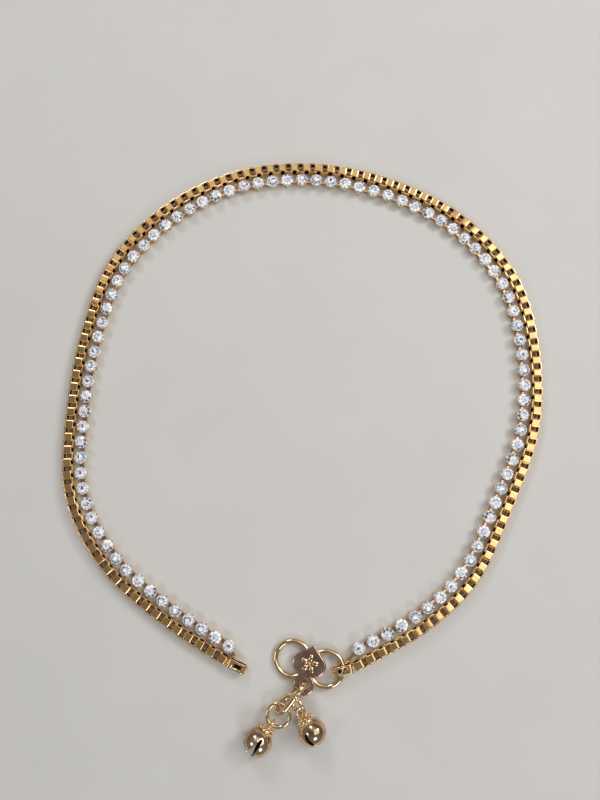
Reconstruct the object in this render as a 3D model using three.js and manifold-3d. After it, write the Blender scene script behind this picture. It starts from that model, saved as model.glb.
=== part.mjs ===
// A chain anklet, open and laid flat on a surface: millimetres, +Z up, origin under the middle of its box.
// A string of claw-set stones runs along the inner side of a box chain. Both end in folded strip tips.
// An S-shaped wire hook with a heart plate joins the right tip, and two small bells hang from the plate.

import * as THREE from "three";
import { mergeVertices } from "three/addons/utils/BufferGeometryUtils.js";
import Module from "manifold-3d";

const wasm = await Module();
wasm.setup();

// Stone string
const STONE_COUNT = 88;
const STONE_DIAMETER = 2.0;
const TABLE_DIAMETER = 1.12;
const CROWN_HEIGHT = 0.42;
const CUP_WALL = 0.12;
const CUP_HEIGHT = 1.45;
const CUP_FOOT_DIAMETER = 1.7;
const CUP_SIDES = 8;
const CLAW_RISE = 0.26;
const BAR_WIDTH = 0.6;
const BAR_HEIGHT = 0.4;
const BAR_LIFT = 0.15;
const TIE_LIFT = 0.6;

// The loop that the stone string lies in, and its middle line from the left end to the right end:
// across as a share of the loop's width, and along as a share of its length
const LOOP_WIDTH = 76.8;
const LOOP_LENGTH = 82.5;
const STONE_ROUTE = [
  [-0.1641, -0.4145], [-0.2799, -0.3467], [-0.4154, -0.2400], [-0.4935, -0.1103], [-0.5000, 0.0570],
  [-0.4753, 0.2242], [-0.4193, 0.3758], [-0.3008, 0.4933], [-0.1471, 0.5636], [0.0260, 0.5782],
  [0.2005, 0.5418], [0.3503, 0.4655], [0.4596, 0.3418], [0.4987, 0.1879], [0.4896, 0.0315],
  [0.4258, -0.1236], [0.3438, -0.2715], [0.2409, -0.3564], [0.1172, -0.4194],
];

// Box chain, as wide as it is high
const CHAIN_WIDTH = 1.86;
const CHAIN_EDGE = 0.28;
const CHAIN_STEPS = 64;
const STRAND_GAP = 0.2;
const LEFT_OVERRUN = 0.8;
const RIGHT_OVERRUN = 2.1;

// Folded strip tips
const TIP_LENGTH = 3.5;
const TIP_WIDTH = 1.5;
const TIP_HEIGHT = 2.0;
const TIP_SHEET = 0.34;
const TIP_CORNER = 0.5;
const TIP_CORNER_STEPS = 4;
const TIP_GAP = 0.3;
const WINDOW_LENGTH = 1.3;
const WINDOW_WIDTH = 0.74;
const LEFT_TIP_HEADING = -25;
const RIGHT_TIP_HEADING = 193;

// S-shaped wire hook
const HOOK_WIRE = 0.9;
const HOOK_RADIUS = 2.84;
const HOOK_SPACING = 5.8;
const HOOK_STEPS = 44;
const HOOK_ARC_STEPS = 16;
const WIRE_SIDES = 8;
const RING_STEPS = 26;
const HOOK_END_ANGLE = 50;
const HOOK_CROSS_ANGLE = 25;
const CLASP_FROM_TIP = [-7.226, 0.52];
const CLASP_HEADING = -16;
const CLASP_TILT = 2.6;

// Heart plate, with its eye at the tail
const PLATE_THICKNESS = 0.6;
const PLATE_BEVEL = 0.1;
const PLATE_CURVE_STEPS = 7;
const PLATE_SINK = 0.12;
const PLATE_WIDTH = 5.6;
const EYE_TO_POINT = 6.6;
const SHOULDER = [0.72, 0.73];
const SHOULDER_BEND = [0.3, 0.87];
const LOBE_BULGE = [1.22, 0.58];
const TAIL_BULGE = [1.06, 0.28];
const WAIST_ANGLE = 55;
const EYE_HOLE = 1.8;
const EYE_RIM = 0.85;
const BLOSSOM_PETALS = 5;
const BLOSSOM_RADIUS = 0.82;
const PETAL_LENGTH = 0.95;
const PETAL_WIDTH = 0.62;
const PETAL_SIDES = 8;
const RELIEF = 0.16;

// Drop ring, an oval through the eye of the plate, and the round rings of the bells, placed from that eye
const DROP_RING_WIRE = 0.9;
const DROP_RING_LENGTH = 6.98;
const DROP_RING_WIDTH = 3.2;
const DROP_RING_HEADING = -135.9;
const DROP_RING_LEAN = [7, -35];
const DROP_RING_LIFT = 0.27;
const DROP_RING_SEAT = 0.17;
const BELL_RING_WIRE = 0.68;
const BELL_RING_DIAMETER = 4.38;
const RING_CUT = 0.16;
const LEFT_CUT_ANGLE = 100;
const LEFT_RING_FROM_EYE = [-4.143, -4.736, 0.31];
const RIGHT_RING_FROM_EYE = [-1.213, -2.636, 1.61];
const RIGHT_RING_HEADING = -55;
const RIGHT_RING_STEEPNESS = 63;
const RIGHT_RING_EYE_ANGLE = -15;

// Bells
const BELL_RADIUS = 2.25;
const BELL_SPREAD = 1.08;
const BELL_REST_HEIGHT = 2.31;
const BELL_WALL = 0.36;
const BELL_SIDES = 12;
const CAP_RADIUS = 1.4;
const CAP_TOP = 2.8;
const CAP_HEIGHT = 0.85;
const NECK_SHARE = 0.86;
const CAP_DOME = [[1, 0.12], [0.94, 0.5], [0.62, 0.88]];
const SHOULDER_LATITUDE = 38;
const BODY_STEPS = 7;
const HOLLOW_STEPS = 7;
const BELL_EYE_HEIGHT = 3.4;
const BELL_EYE_RADIUS = 0.8;
const BELL_EYE_WIRE = 0.4;
const EYE_WIRE_SIDES = 6;
const EYE_STEPS = 14;
const GRANULE_COUNT = 8;
const GRANULE_RADIUS = 0.28;
const GRANULE_SHARE = 0.16;
const SLIT_MOUTH = 1.3;
const SLIT_END = 0.26;
const SLIT_REACH = 1.0;
const SLIT_OUTSIDE = 3;
const LEFT_BELL_HEADING = -130;
const RIGHT_BELL_HEADING = -60;
const RIGHT_SLIT_TURN = 36;

const CHAIN_GOLD = { color: 0xc8962e, metalness: 1, roughness: 0.3 };
const CLASP_GOLD = { color: 0xd8b27a, metalness: 1, roughness: 0.16 };
const CRYSTAL = { color: 0xe6e8f2, metalness: 0.1, roughness: 0.08 };

const UP = new THREE.Vector3(0, 0, 1);
const radians = THREE.MathUtils.degToRad;

// Unit vector in the plane of the surface at an angle in degrees from +X
function heading(degrees) {
  return new THREE.Vector3(Math.cos(radians(degrees)), Math.sin(radians(degrees)), 0);
}

// Shared vertices merged and triangles without area left out
function welded(geometry) {
  const bare = geometry.clone();
  bare.deleteAttribute("normal");
  bare.deleteAttribute("uv");
  const merged = mergeVertices(bare, 1e-5);
  const source = merged.index.array;
  const kept = [];
  for (let i = 0; i < source.length; i += 3) {
    const [a, b, c] = [source[i], source[i + 1], source[i + 2]];
    if (a !== b && b !== c && c !== a) {
      kept.push(a, b, c);
    }
  }
  merged.setIndex(kept);
  return merged;
}

function solidOf(geometry) {
  const source = welded(geometry);
  const vertProperties = new Float32Array(source.attributes.position.array);
  const triVerts = new Uint32Array(source.index.array);
  return new wasm.Manifold(new wasm.Mesh({ numProp: 3, vertProperties, triVerts }));
}

function geometryOf(solid) {
  const mesh = solid.getMesh();
  const geometry = new THREE.BufferGeometry();
  geometry.setAttribute("position", new THREE.BufferAttribute(new Float32Array(mesh.vertProperties), 3));
  geometry.setIndex(new THREE.BufferAttribute(new Uint32Array(mesh.triVerts), 1));
  return geometry;
}

function joined(geometries) {
  return geometries.map(solidOf).reduce((whole, solid) => whole.add(solid));
}

// A lathe's geometry turned so that its axis is +Z, with the middle of a side toward each axis
function turned(profile, sides) {
  const points = profile.map(([radius, height]) => new THREE.Vector2(radius, height));
  const geometry = new THREE.LatheGeometry(points, sides, Math.PI / sides);
  geometry.rotateX(Math.PI / 2);
  return geometry;
}

function regularSection(diameter, sides) {
  const corners = [];
  for (let i = 0; i < sides; i += 1) {
    const angle = ((i + 0.5) / sides) * 2 * Math.PI;
    corners.push(new THREE.Vector2((diameter / 2) * Math.cos(angle), (diameter / 2) * Math.sin(angle)));
  }
  return new THREE.Shape(corners);
}

function sweep(section, path, steps) {
  return new THREE.ExtrudeGeometry(section, { steps, extrudePath: path, bevelEnabled: false });
}

// A line beside another one, run on straight past its two ends
class SideCurve extends THREE.Curve {
  constructor(base, offset, before, after) {
    super();
    Object.assign(this, { base, offset, before, after, length: base.getLength() });
  }

  getPoint(t, target = new THREE.Vector3()) {
    const distance = t * (this.before + this.length + this.after) - this.before;
    const share = THREE.MathUtils.clamp(distance / this.length, 0, 1);
    const tangent = this.base.getTangentAt(share);
    const side = new THREE.Vector3().crossVectors(UP, tangent);
    const past = distance - share * this.length;
    target.copy(this.base.getPointAt(share));
    return target.addScaledVector(side, this.offset).addScaledVector(tangent, past);
  }
}

// A wire ring's middle line: a circle, or an oval with straight sides, twisted along its length, cut at +X
class WireLoop extends THREE.Curve {
  constructor(halfLength, halfWidth, leanAtStart, leanAtEnd, cut) {
    super();
    Object.assign(this, { halfLength, halfWidth, leanAtStart, leanAtEnd, cut });
  }

  flatPoint(distance) {
    const straight = 2 * (this.halfLength - this.halfWidth);
    const quarter = (Math.PI / 2) * this.halfWidth;
    if (distance <= quarter) {
      const angle = distance / this.halfWidth;
      return [straight / 2 + this.halfWidth * Math.cos(angle), this.halfWidth * Math.sin(angle)];
    }
    if (distance <= quarter + straight) {
      return [straight / 2 - (distance - quarter), this.halfWidth];
    }
    const angle = Math.PI / 2 + (distance - quarter - straight) / this.halfWidth;
    return [-straight / 2 + this.halfWidth * Math.cos(angle), this.halfWidth * Math.sin(angle)];
  }

  getPoint(t, target = new THREE.Vector3()) {
    const half = Math.PI * this.halfWidth + 2 * (this.halfLength - this.halfWidth);
    const distance = this.cut / 2 + t * (2 * half - this.cut);
    const [x, across] = this.flatPoint(Math.min(distance, 2 * half - distance));
    const y = distance <= half ? across : -across;
    const share = (x + this.halfLength) / (2 * this.halfLength);
    const lean = radians(THREE.MathUtils.lerp(this.leanAtStart, this.leanAtEnd, share));
    return target.set(x, y * Math.cos(lean), y * Math.sin(lean));
  }
}

const stoneLine = new THREE.CatmullRomCurve3(
  STONE_ROUTE.map(([across, along]) => new THREE.Vector3(across * LOOP_WIDTH, along * LOOP_LENGTH, 0)),
  false,
  "centripetal",
);
stoneLine.arcLengthDivisions = 1200;

const cupDiameter = STONE_DIAMETER + 2 * CUP_WALL;
const strandOffset = cupDiameter / 2 + STRAND_GAP + CHAIN_WIDTH / 2;
const chainLine = new SideCurve(stoneLine, strandOffset, LEFT_OVERRUN, RIGHT_OVERRUN);

// One stone in its cup, with a claw at every second corner
function cupWithStone() {
  const cupRadius = cupDiameter / 2;
  const tableHeight = CUP_HEIGHT + CROWN_HEIGHT;
  const profile = [
    [0, 0],
    [CUP_FOOT_DIAMETER / 2, 0],
    [cupRadius, CUP_HEIGHT],
    [STONE_DIAMETER / 2, CUP_HEIGHT],
    [TABLE_DIAMETER / 2, tableHeight],
    [0, tableHeight],
  ];
  const geometry = turned(profile, CUP_SIDES);
  const rimPoint = 2;
  for (let corner = 0; corner <= CUP_SIDES; corner += 2) {
    geometry.attributes.position.setZ(corner * profile.length + rimPoint, CUP_HEIGHT + CLAW_RISE);
  }
  return geometry;
}

// A flat bar between two points, its underside at a given height
function barBetween(start, end, width, height, lift) {
  const bar = new THREE.BoxGeometry(start.distanceTo(end), width, height);
  bar.rotateZ(Math.atan2(end.y - start.y, end.x - start.x));
  bar.translate((start.x + end.x) / 2, (start.y + end.y) / 2, lift + height / 2);
  return bar;
}

function stoneChain(ties) {
  const cup = cupWithStone();
  const pieces = [];
  let last = null;
  for (let i = 0; i < STONE_COUNT; i += 1) {
    const share = i / (STONE_COUNT - 1);
    const place = stoneLine.getPointAt(share);
    const tangent = stoneLine.getTangentAt(share);
    const setting = cup.clone();
    setting.rotateZ(Math.atan2(tangent.y, tangent.x));
    setting.translate(place.x, place.y, 0);
    pieces.push(setting);
    if (last) {
      const inset = CUP_FOOT_DIAMETER / 4 / last.distanceTo(place);
      const start = last.clone().lerp(place, inset);
      const end = place.clone().lerp(last, inset);
      pieces.push(barBetween(start, end, BAR_WIDTH, BAR_HEIGHT, BAR_LIFT));
    }
    last = place;
  }
  for (const [start, end] of ties) {
    pieces.push(barBetween(start, end, BAR_WIDTH, BAR_HEIGHT, TIE_LIFT));
  }
  return geometryOf(joined(pieces));
}

function boxChain() {
  const half = CHAIN_WIDTH / 2;
  const flat = half - CHAIN_EDGE;
  const corners = [
    [half, flat], [flat, half], [-flat, half], [-half, flat],
    [-half, -flat], [-flat, -half], [flat, -half], [half, -flat],
  ];
  const section = new THREE.Shape(corners.map(([x, y]) => new THREE.Vector2(x, y)));
  const geometry = sweep(section, chainLine, CHAIN_STEPS);
  geometry.translate(0, 0, half);
  return welded(geometry);
}

// Outline of a flat loop of strip seen from its side, from x = inset to the round end, z from inset up
function stripOutline(inset) {
  const length = TIP_LENGTH - inset;
  const top = TIP_HEIGHT - inset;
  const round = TIP_HEIGHT / 2 - inset;
  const corner = TIP_CORNER - inset / 2;
  const outline = new THREE.Shape();
  outline.moveTo(inset + corner, inset);
  outline.lineTo(length - round, inset);
  outline.absarc(length - round, TIP_HEIGHT / 2, round, -Math.PI / 2, Math.PI / 2, false);
  outline.lineTo(inset + corner, top);
  outline.absarc(inset + corner, top - corner, corner, Math.PI / 2, Math.PI, false);
  outline.lineTo(inset, inset + corner);
  outline.absarc(inset + corner, inset + corner, corner, Math.PI, 1.5 * Math.PI, false);
  return outline;
}

// A strip folded into a loop along +X, with a window in its upper leaf near the round end
function endTip() {
  const outline = stripOutline(0);
  outline.holes.push(stripOutline(TIP_SHEET));
  const options = { depth: TIP_WIDTH, bevelEnabled: false, curveSegments: TIP_CORNER_STEPS };
  const loop = new THREE.ExtrudeGeometry(outline, options);
  loop.rotateX(Math.PI / 2);
  loop.translate(0, TIP_WIDTH / 2, 0);
  const window = new THREE.BoxGeometry(WINDOW_LENGTH, WINDOW_WIDTH, TIP_HEIGHT);
  window.translate(TIP_LENGTH - TIP_HEIGHT / 2 - WINDOW_LENGTH / 2, 0, TIP_HEIGHT);
  return geometryOf(solidOf(loop).subtract(solidOf(window)));
}

// Where a tip starts, and which way it points, at one end of the box chain
function tipPlace(atRightEnd) {
  const direction = heading(atRightEnd ? RIGHT_TIP_HEADING : LEFT_TIP_HEADING);
  const chainEnd = chainLine.getPoint(atRightEnd ? 1 : 0);
  const start = chainEnd.clone().addScaledVector(direction, TIP_GAP);
  return { start, direction };
}

// The bar from the last cup at one end to the side of the tip, with the gap that the tip keeps
function tieTo(tip, atRightEnd) {
  const cupPlace = stoneLine.getPointAt(atRightEnd ? 1 : 0);
  const towardCup = new THREE.Vector3().crossVectors(tip.direction, UP).multiplyScalar(atRightEnd ? 1 : -1);
  const end = tip.start.clone().addScaledVector(tip.direction, BAR_WIDTH);
  end.addScaledVector(towardCup, TIP_WIDTH / 2 + TIP_GAP);
  return [cupPlace, end];
}

// Middle line of the S-shaped hook: round the left loop, across the middle and round the right loop
function hookLine() {
  const points = [];
  for (let i = 0; i <= HOOK_ARC_STEPS; i += 1) {
    const angle = radians(THREE.MathUtils.lerp(HOOK_END_ANGLE, 360 - HOOK_CROSS_ANGLE, i / HOOK_ARC_STEPS));
    const x = HOOK_RADIUS * Math.cos(angle) - HOOK_SPACING / 2;
    points.push(new THREE.Vector3(x, HOOK_RADIUS * Math.sin(angle), 0));
  }
  const otherLoop = points.map((point) => point.clone().negate()).reverse();
  return new THREE.CatmullRomCurve3([...points, ...otherLoop], false, "centripetal");
}

// Inverted heart with a round eye tab at its tail, the eye at the origin and the point along +Y
function heartOutline() {
  const half = PLATE_WIDTH / 2;
  const tab = EYE_HOLE / 2 + EYE_RIM;
  const waist = radians(WAIST_ANGLE);
  const at = ([across, along]) => [across * half, along * EYE_TO_POINT];
  const [shoulder, bend, lobe, tail] = [SHOULDER, SHOULDER_BEND, LOBE_BULGE, TAIL_BULGE].map(at);
  const outline = new THREE.Shape();
  outline.moveTo(0, EYE_TO_POINT);
  outline.quadraticCurveTo(-bend[0], bend[1], -shoulder[0], shoulder[1]);
  outline.bezierCurveTo(-lobe[0], lobe[1], -tail[0], tail[1], -tab * Math.cos(waist), tab * Math.sin(waist));
  outline.absarc(0, 0, tab, Math.PI - waist, 2 * Math.PI + waist, false);
  outline.bezierCurveTo(tail[0], tail[1], lobe[0], lobe[1], shoulder[0], shoulder[1]);
  outline.quadraticCurveTo(bend[0], bend[1], 0, EYE_TO_POINT);
  const eye = new THREE.Path();
  eye.absarc(0, 0, EYE_HOLE / 2, 0, 2 * Math.PI, true);
  outline.holes.push(eye);
  return outline;
}

// Raised five-petalled blossom on the middle of the plate
function blossom(height) {
  const pieces = [new THREE.CylinderGeometry(PETAL_WIDTH / 2, PETAL_WIDTH / 2, height, PETAL_SIDES)];
  for (let i = 0; i < BLOSSOM_PETALS; i += 1) {
    const petal = new THREE.CylinderGeometry(1 / 2, 1 / 2, height, PETAL_SIDES);
    petal.scale(PETAL_LENGTH, 1, PETAL_WIDTH);
    petal.translate(BLOSSOM_RADIUS, 0, 0);
    petal.rotateY((i / BLOSSOM_PETALS) * 2 * Math.PI + Math.PI / 2);
    pieces.push(petal);
  }
  return pieces.map((piece) => piece.rotateX(Math.PI / 2));
}

// Hook and plate soldered together, in the hook's own plane with the left loop at -X
function heartClasp() {
  const wire = sweep(regularSection(HOOK_WIRE, WIRE_SIDES), hookLine(), HOOK_STEPS);
  const flatDepth = PLATE_THICKNESS - 2 * PLATE_BEVEL;
  const plate = new THREE.ExtrudeGeometry(heartOutline(), {
    depth: flatDepth,
    curveSegments: PLATE_CURVE_STEPS,
    bevelThickness: PLATE_BEVEL,
    bevelSize: PLATE_BEVEL,
    bevelOffset: -PLATE_BEVEL,
    bevelSegments: 1,
  });
  const eyeShift = -EYE_TO_POINT / 2;
  const plateBase = HOOK_WIRE / 2 - PLATE_SINK;
  plate.translate(0, eyeShift, plateBase + PLATE_BEVEL);
  const reliefDepth = RELIEF + PLATE_BEVEL;
  const petals = blossom(reliefDepth);
  for (const petal of petals) {
    petal.translate(0, 0, plateBase + PLATE_THICKNESS + RELIEF - reliefDepth / 2);
  }
  return geometryOf(joined([wire, plate, ...petals]));
}

function claspFrame() {
  const rise = (HOOK_SPACING / 2 + HOOK_RADIUS) * Math.sin(radians(CLASP_TILT));
  const turn = new THREE.Matrix4().makeRotationZ(radians(CLASP_HEADING));
  turn.multiply(new THREE.Matrix4().makeRotationY(-radians(CLASP_TILT)));
  const tip = tipPlace(true).start;
  turn.setPosition(tip.x + CLASP_FROM_TIP[0], tip.y + CLASP_FROM_TIP[1], HOOK_WIRE / 2 + rise);
  return turn;
}

// Middle of the plate's eye in the anklet's frame
function plateEye() {
  const height = HOOK_WIRE / 2 - PLATE_SINK + PLATE_THICKNESS / 2;
  return new THREE.Vector3(0, -EYE_TO_POINT / 2, height).applyMatrix4(claspFrame());
}

function wireRing(wire, length, width, lean) {
  const loop = new WireLoop((length - wire) / 2, (width - wire) / 2, lean[0], lean[1], RING_CUT);
  return welded(sweep(regularSection(wire, WIRE_SIDES), loop, RING_STEPS));
}

// A frame with its X along one direction and its Y as near as can be to another
function frameAt(place, along, near) {
  const x = along.clone().normalize();
  const z = new THREE.Vector3().crossVectors(x, near).normalize();
  const y = new THREE.Vector3().crossVectors(z, x);
  return new THREE.Matrix4().makeBasis(x, y, z).setPosition(place);
}

function dropRingFrame() {
  const along = heading(DROP_RING_HEADING);
  const place = plateEye().addScaledVector(along, (DROP_RING_LENGTH - DROP_RING_WIRE) / 2 - DROP_RING_SEAT);
  place.z += DROP_RING_LIFT;
  return frameAt(place, along, UP);
}

const bellRingRadius = (BELL_RING_DIAMETER - BELL_RING_WIRE) / 2;

function leftRingPlace() {
  return plateEye().add(new THREE.Vector3(...LEFT_RING_FROM_EYE));
}

// The left bell's ring lies flat, its cut away from the bell
function leftRingFrame() {
  const away = heading(LEFT_BELL_HEADING + LEFT_CUT_ANGLE);
  const side = new THREE.Vector3().crossVectors(UP, away);
  return frameAt(leftRingPlace(), away, side);
}

// The right bell's ring stands steeply over the drop ring
function rightRingFrame() {
  const along = heading(RIGHT_RING_HEADING);
  const flat = heading(RIGHT_RING_HEADING + 90);
  const steep = radians(RIGHT_RING_STEEPNESS);
  const near = flat.multiplyScalar(Math.cos(steep)).addScaledVector(UP, Math.sin(steep));
  const place = plateEye().add(new THREE.Vector3(...RIGHT_RING_FROM_EYE));
  return frameAt(place, along, near);
}

// A hollow bell with its mouth at -Z, spread across its slit: body, cap ringed with granules, and a wire eye
function bell(slitTurn) {
  const capBase = CAP_TOP - CAP_HEIGHT;
  const outside = [];
  for (let i = 0; i <= BODY_STEPS; i += 1) {
    const latitude = radians(THREE.MathUtils.lerp(-90, SHOULDER_LATITUDE, i / BODY_STEPS));
    outside.push([i === 0 ? 0 : BELL_RADIUS * Math.cos(latitude), BELL_RADIUS * Math.sin(latitude)]);
  }
  outside.push([NECK_SHARE * CAP_RADIUS, capBase]);
  outside.push(...CAP_DOME.map(([across, up]) => [across * CAP_RADIUS, capBase + up * CAP_HEIGHT]));
  outside.push([0, CAP_TOP]);
  const inside = [];
  for (let i = 0; i <= HOLLOW_STEPS; i += 1) {
    const angle = Math.PI * (i / HOLLOW_STEPS - 1 / 2);
    const onAxis = i === 0 || i === HOLLOW_STEPS;
    const reach = BELL_RADIUS - BELL_WALL;
    inside.push([onAxis ? 0 : reach * Math.cos(angle), reach * Math.sin(angle)]);
  }
  const mouth = new THREE.Shape();
  mouth.moveTo(-SLIT_MOUTH / 2, -SLIT_OUTSIDE);
  mouth.lineTo(SLIT_MOUTH / 2, -SLIT_OUTSIDE);
  mouth.lineTo(SLIT_END / 2, SLIT_REACH);
  mouth.lineTo(-SLIT_END / 2, SLIT_REACH);
  const slit = new THREE.ExtrudeGeometry(mouth, { depth: 2 * SLIT_OUTSIDE, bevelEnabled: false });
  slit.translate(0, 0, -SLIT_OUTSIDE);
  slit.rotateX(Math.PI / 2);
  const eye = new THREE.TorusGeometry(BELL_EYE_RADIUS, BELL_EYE_WIRE / 2, EYE_WIRE_SIDES, EYE_STEPS);
  eye.rotateY(Math.PI / 2);
  eye.translate(0, 0, BELL_EYE_HEIGHT);
  const trims = [eye];
  const granuleHeight = capBase + GRANULE_SHARE * CAP_HEIGHT;
  for (let i = 0; i < GRANULE_COUNT; i += 1) {
    const angle = ((i + 0.5) / GRANULE_COUNT) * 2 * Math.PI;
    const granule = new THREE.IcosahedronGeometry(GRANULE_RADIUS, 0);
    granule.translate(CAP_RADIUS * Math.cos(angle), CAP_RADIUS * Math.sin(angle), granuleHeight);
    trims.push(granule);
  }
  const shell = solidOf(turned(outside, BELL_SIDES)).subtract(solidOf(turned(inside, BELL_SIDES)));
  const body = shell.subtract(solidOf(slit)).scale([BELL_SPREAD, 1, 1]).rotate([0, 0, slitTurn]);
  return geometryOf(body.add(joined(trims)));
}

// A bell's frame: its eye at a ring's wire, its body down on the surface, its eye turned round the wire
function bellFrame(eyePlace, wireDirection, bellHeading) {
  const drop = (eyePlace.z - BELL_REST_HEIGHT) / BELL_EYE_HEIGHT;
  const axis = heading(bellHeading).multiplyScalar(-Math.sqrt(1 - drop * drop)).addScaledVector(UP, drop);
  const x = wireDirection.clone().addScaledVector(axis, -wireDirection.dot(axis)).normalize();
  const y = new THREE.Vector3().crossVectors(axis, x);
  const place = eyePlace.clone().addScaledVector(axis, -BELL_EYE_HEIGHT);
  return new THREE.Matrix4().makeBasis(x, y, axis).setPosition(place);
}

function leftBellFrame() {
  const out = heading(LEFT_BELL_HEADING);
  const eyePlace = leftRingPlace().addScaledVector(out, bellRingRadius);
  return bellFrame(eyePlace, new THREE.Vector3().crossVectors(UP, out), LEFT_BELL_HEADING);
}

function rightBellFrame() {
  const ring = rightRingFrame();
  const angle = radians(RIGHT_RING_EYE_ANGLE);
  const eyePlace = new THREE.Vector3(Math.cos(angle), Math.sin(angle), 0).multiplyScalar(bellRingRadius);
  const tangent = new THREE.Vector3(-Math.sin(angle), Math.cos(angle), 0).transformDirection(ring);
  return bellFrame(eyePlace.applyMatrix4(ring), tangent, RIGHT_BELL_HEADING);
}

function named(name, geometry, look, frame = new THREE.Matrix4()) {
  const mesh = new THREE.Mesh(geometry, new THREE.MeshStandardMaterial(look));
  mesh.name = name;
  mesh.applyMatrix4(frame);
  return mesh;
}

function tipFrame(tip) {
  return frameAt(tip.start, tip.direction, new THREE.Vector3().crossVectors(UP, tip.direction));
}

// Puts the origin under the middle of the box, on the surface
function centred(group) {
  const box = new THREE.Box3().setFromObject(group, true);
  const middle = box.getCenter(new THREE.Vector3());
  group.position.set(-middle.x, -middle.y, -box.min.z);
  return group;
}

function anklet() {
  const leftTip = tipPlace(false);
  const rightTip = tipPlace(true);
  const ties = [tieTo(leftTip, false), tieTo(rightTip, true)];
  const group = new THREE.Group();
  group.add(named("stone_chain", stoneChain(ties), CRYSTAL));
  group.add(named("box_chain", boxChain(), CHAIN_GOLD));
  group.add(named("end_tip_left", endTip(), CHAIN_GOLD, tipFrame(leftTip)));
  group.add(named("end_tip_right", endTip(), CHAIN_GOLD, tipFrame(rightTip)));
  group.add(named("heart_clasp", heartClasp(), CLASP_GOLD, claspFrame()));
  const dropRing = wireRing(DROP_RING_WIRE, DROP_RING_LENGTH, DROP_RING_WIDTH, DROP_RING_LEAN);
  group.add(named("drop_ring", dropRing, CLASP_GOLD, dropRingFrame()));
  const bellRing = wireRing(BELL_RING_WIRE, BELL_RING_DIAMETER, BELL_RING_DIAMETER, [0, 0]);
  group.add(named("bell_ring_left", bellRing, CLASP_GOLD, leftRingFrame()));
  group.add(named("bell_ring_right", bellRing.clone(), CLASP_GOLD, rightRingFrame()));
  group.add(named("bell_left", bell(0), CLASP_GOLD, leftBellFrame()));
  group.add(named("bell_right", bell(RIGHT_SLIT_TURN), CLASP_GOLD, rightBellFrame()));
  return centred(group);
}

export default anklet();
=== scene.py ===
"""Looks of a chain anklet laid open on a plain floor: two strands, end tips, hook clasp and bells."""

import math

import bmesh
import bpy
from bpy.props import FloatProperty, FloatVectorProperty, IntProperty, PointerProperty
from mathutils import Matrix, Vector
from mathutils.geometry import intersect_point_line


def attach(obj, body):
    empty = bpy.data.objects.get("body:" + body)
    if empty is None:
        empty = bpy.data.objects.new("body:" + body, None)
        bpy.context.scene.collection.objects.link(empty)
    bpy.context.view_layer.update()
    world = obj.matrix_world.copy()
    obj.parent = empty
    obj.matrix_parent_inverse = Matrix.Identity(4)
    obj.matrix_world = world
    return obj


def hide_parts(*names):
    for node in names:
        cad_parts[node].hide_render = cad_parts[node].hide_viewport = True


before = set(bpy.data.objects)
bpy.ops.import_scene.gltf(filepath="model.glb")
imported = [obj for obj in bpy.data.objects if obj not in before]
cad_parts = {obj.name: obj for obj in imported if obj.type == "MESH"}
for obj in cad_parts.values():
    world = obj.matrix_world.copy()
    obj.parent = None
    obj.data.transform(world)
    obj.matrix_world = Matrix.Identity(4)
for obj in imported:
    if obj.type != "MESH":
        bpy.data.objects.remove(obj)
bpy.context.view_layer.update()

bl_info = {
    "name": "Chain Anklet",
    "version": (1, 0, 0),
    "blender": (4, 5, 0),
    "location": "View3D > Sidebar > Anklet",
    "description": "Builds a box chain anklet with a stone string, a hook clasp and two bells",
    "category": "Object",
}

MM = 0.001
UP = Vector((0, 0, 1))
# Where the plane that the route is drawn in lies in the row frame, in mm
SHIFT = Vector((0.095, 0.1733, 0.0))

# Middle line of the stone string from the left end to the right end, in mm
STONE_ROUTE = [
    (-12.6, -34.2), (-21.5, -28.6), (-31.9, -19.8), (-37.9, -9.1), (-38.4, 4.7), (-36.5, 18.5), (-32.2, 31.0),
    (-23.1, 40.7), (-11.3, 46.5), (2.0, 47.7), (15.4, 44.7), (26.9, 38.4), (35.3, 28.2), (38.3, 15.5),
    (37.6, 2.6), (32.7, -10.2), (26.4, -22.4), (18.5, -29.4), (9.0, -34.6),
]

# Sizes that the pieces share with the solids, in mm
STONE_COUNT = 88
STONE_RADIUS = 1.07
TABLE_RADIUS = 0.6
CUP_HEIGHT = 1.45
CROWN_HEIGHT = 0.42
CUP_RADIUS = 1.12
CUP_FOOT = 0.85
BAR_WIDTH, BAR_HEIGHT, BAR_LIFT, TIE_LIFT = 0.6, 0.4, 0.15, 0.6
CHAIN_WIDTH = 1.86
STRAND_OFFSET = 2.25
LEFT_OVERRUN, RIGHT_OVERRUN = 0.8, 2.1
TIP_LENGTH, TIP_WIDTH, TIP_HEIGHT, TIP_SHEET = 3.5, 1.5, 2.0, 0.34
TIP_CORNER, TIP_GAP = 0.5, 0.3
WINDOW_LENGTH, WINDOW_WIDTH = 1.3, 0.74
LEFT_TIP_HEADING, RIGHT_TIP_HEADING = -25, 193
HOOK_WIRE, HOOK_RADIUS, HOOK_SPACING = 0.9, 2.84, 5.8
HOOK_END_ANGLE, HOOK_CROSS_ANGLE = 50, 25
CLASP_PLACE, CLASP_HEADING, CLASP_TILT = (0.72, -37.13), -16, 2.6
PLATE_THICKNESS, PLATE_SINK, PLATE_WIDTH, EYE_TO_POINT = 0.6, 0.12, 5.6, 6.6
SHOULDER, SHOULDER_BEND = (0.72, 0.73), (0.3, 0.87)
LOBE_BULGE, TAIL_BULGE = (1.22, 0.58), (1.06, 0.28)
WAIST_ANGLE, EYE_HOLE, EYE_RIM = 55, 1.8, 0.85
DROP_RING_WIRE, DROP_RING_LENGTH, DROP_RING_WIDTH = 0.9, 6.98, 3.2
DROP_RING_HEADING, DROP_RING_LEAN = -135.9, (7, -35)
DROP_RING_LIFT, DROP_RING_SEAT = 0.27, 0.17
BELL_RING_WIRE, BELL_RING_DIAMETER, RING_CUT = 0.68, 4.38, 0.16
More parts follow.
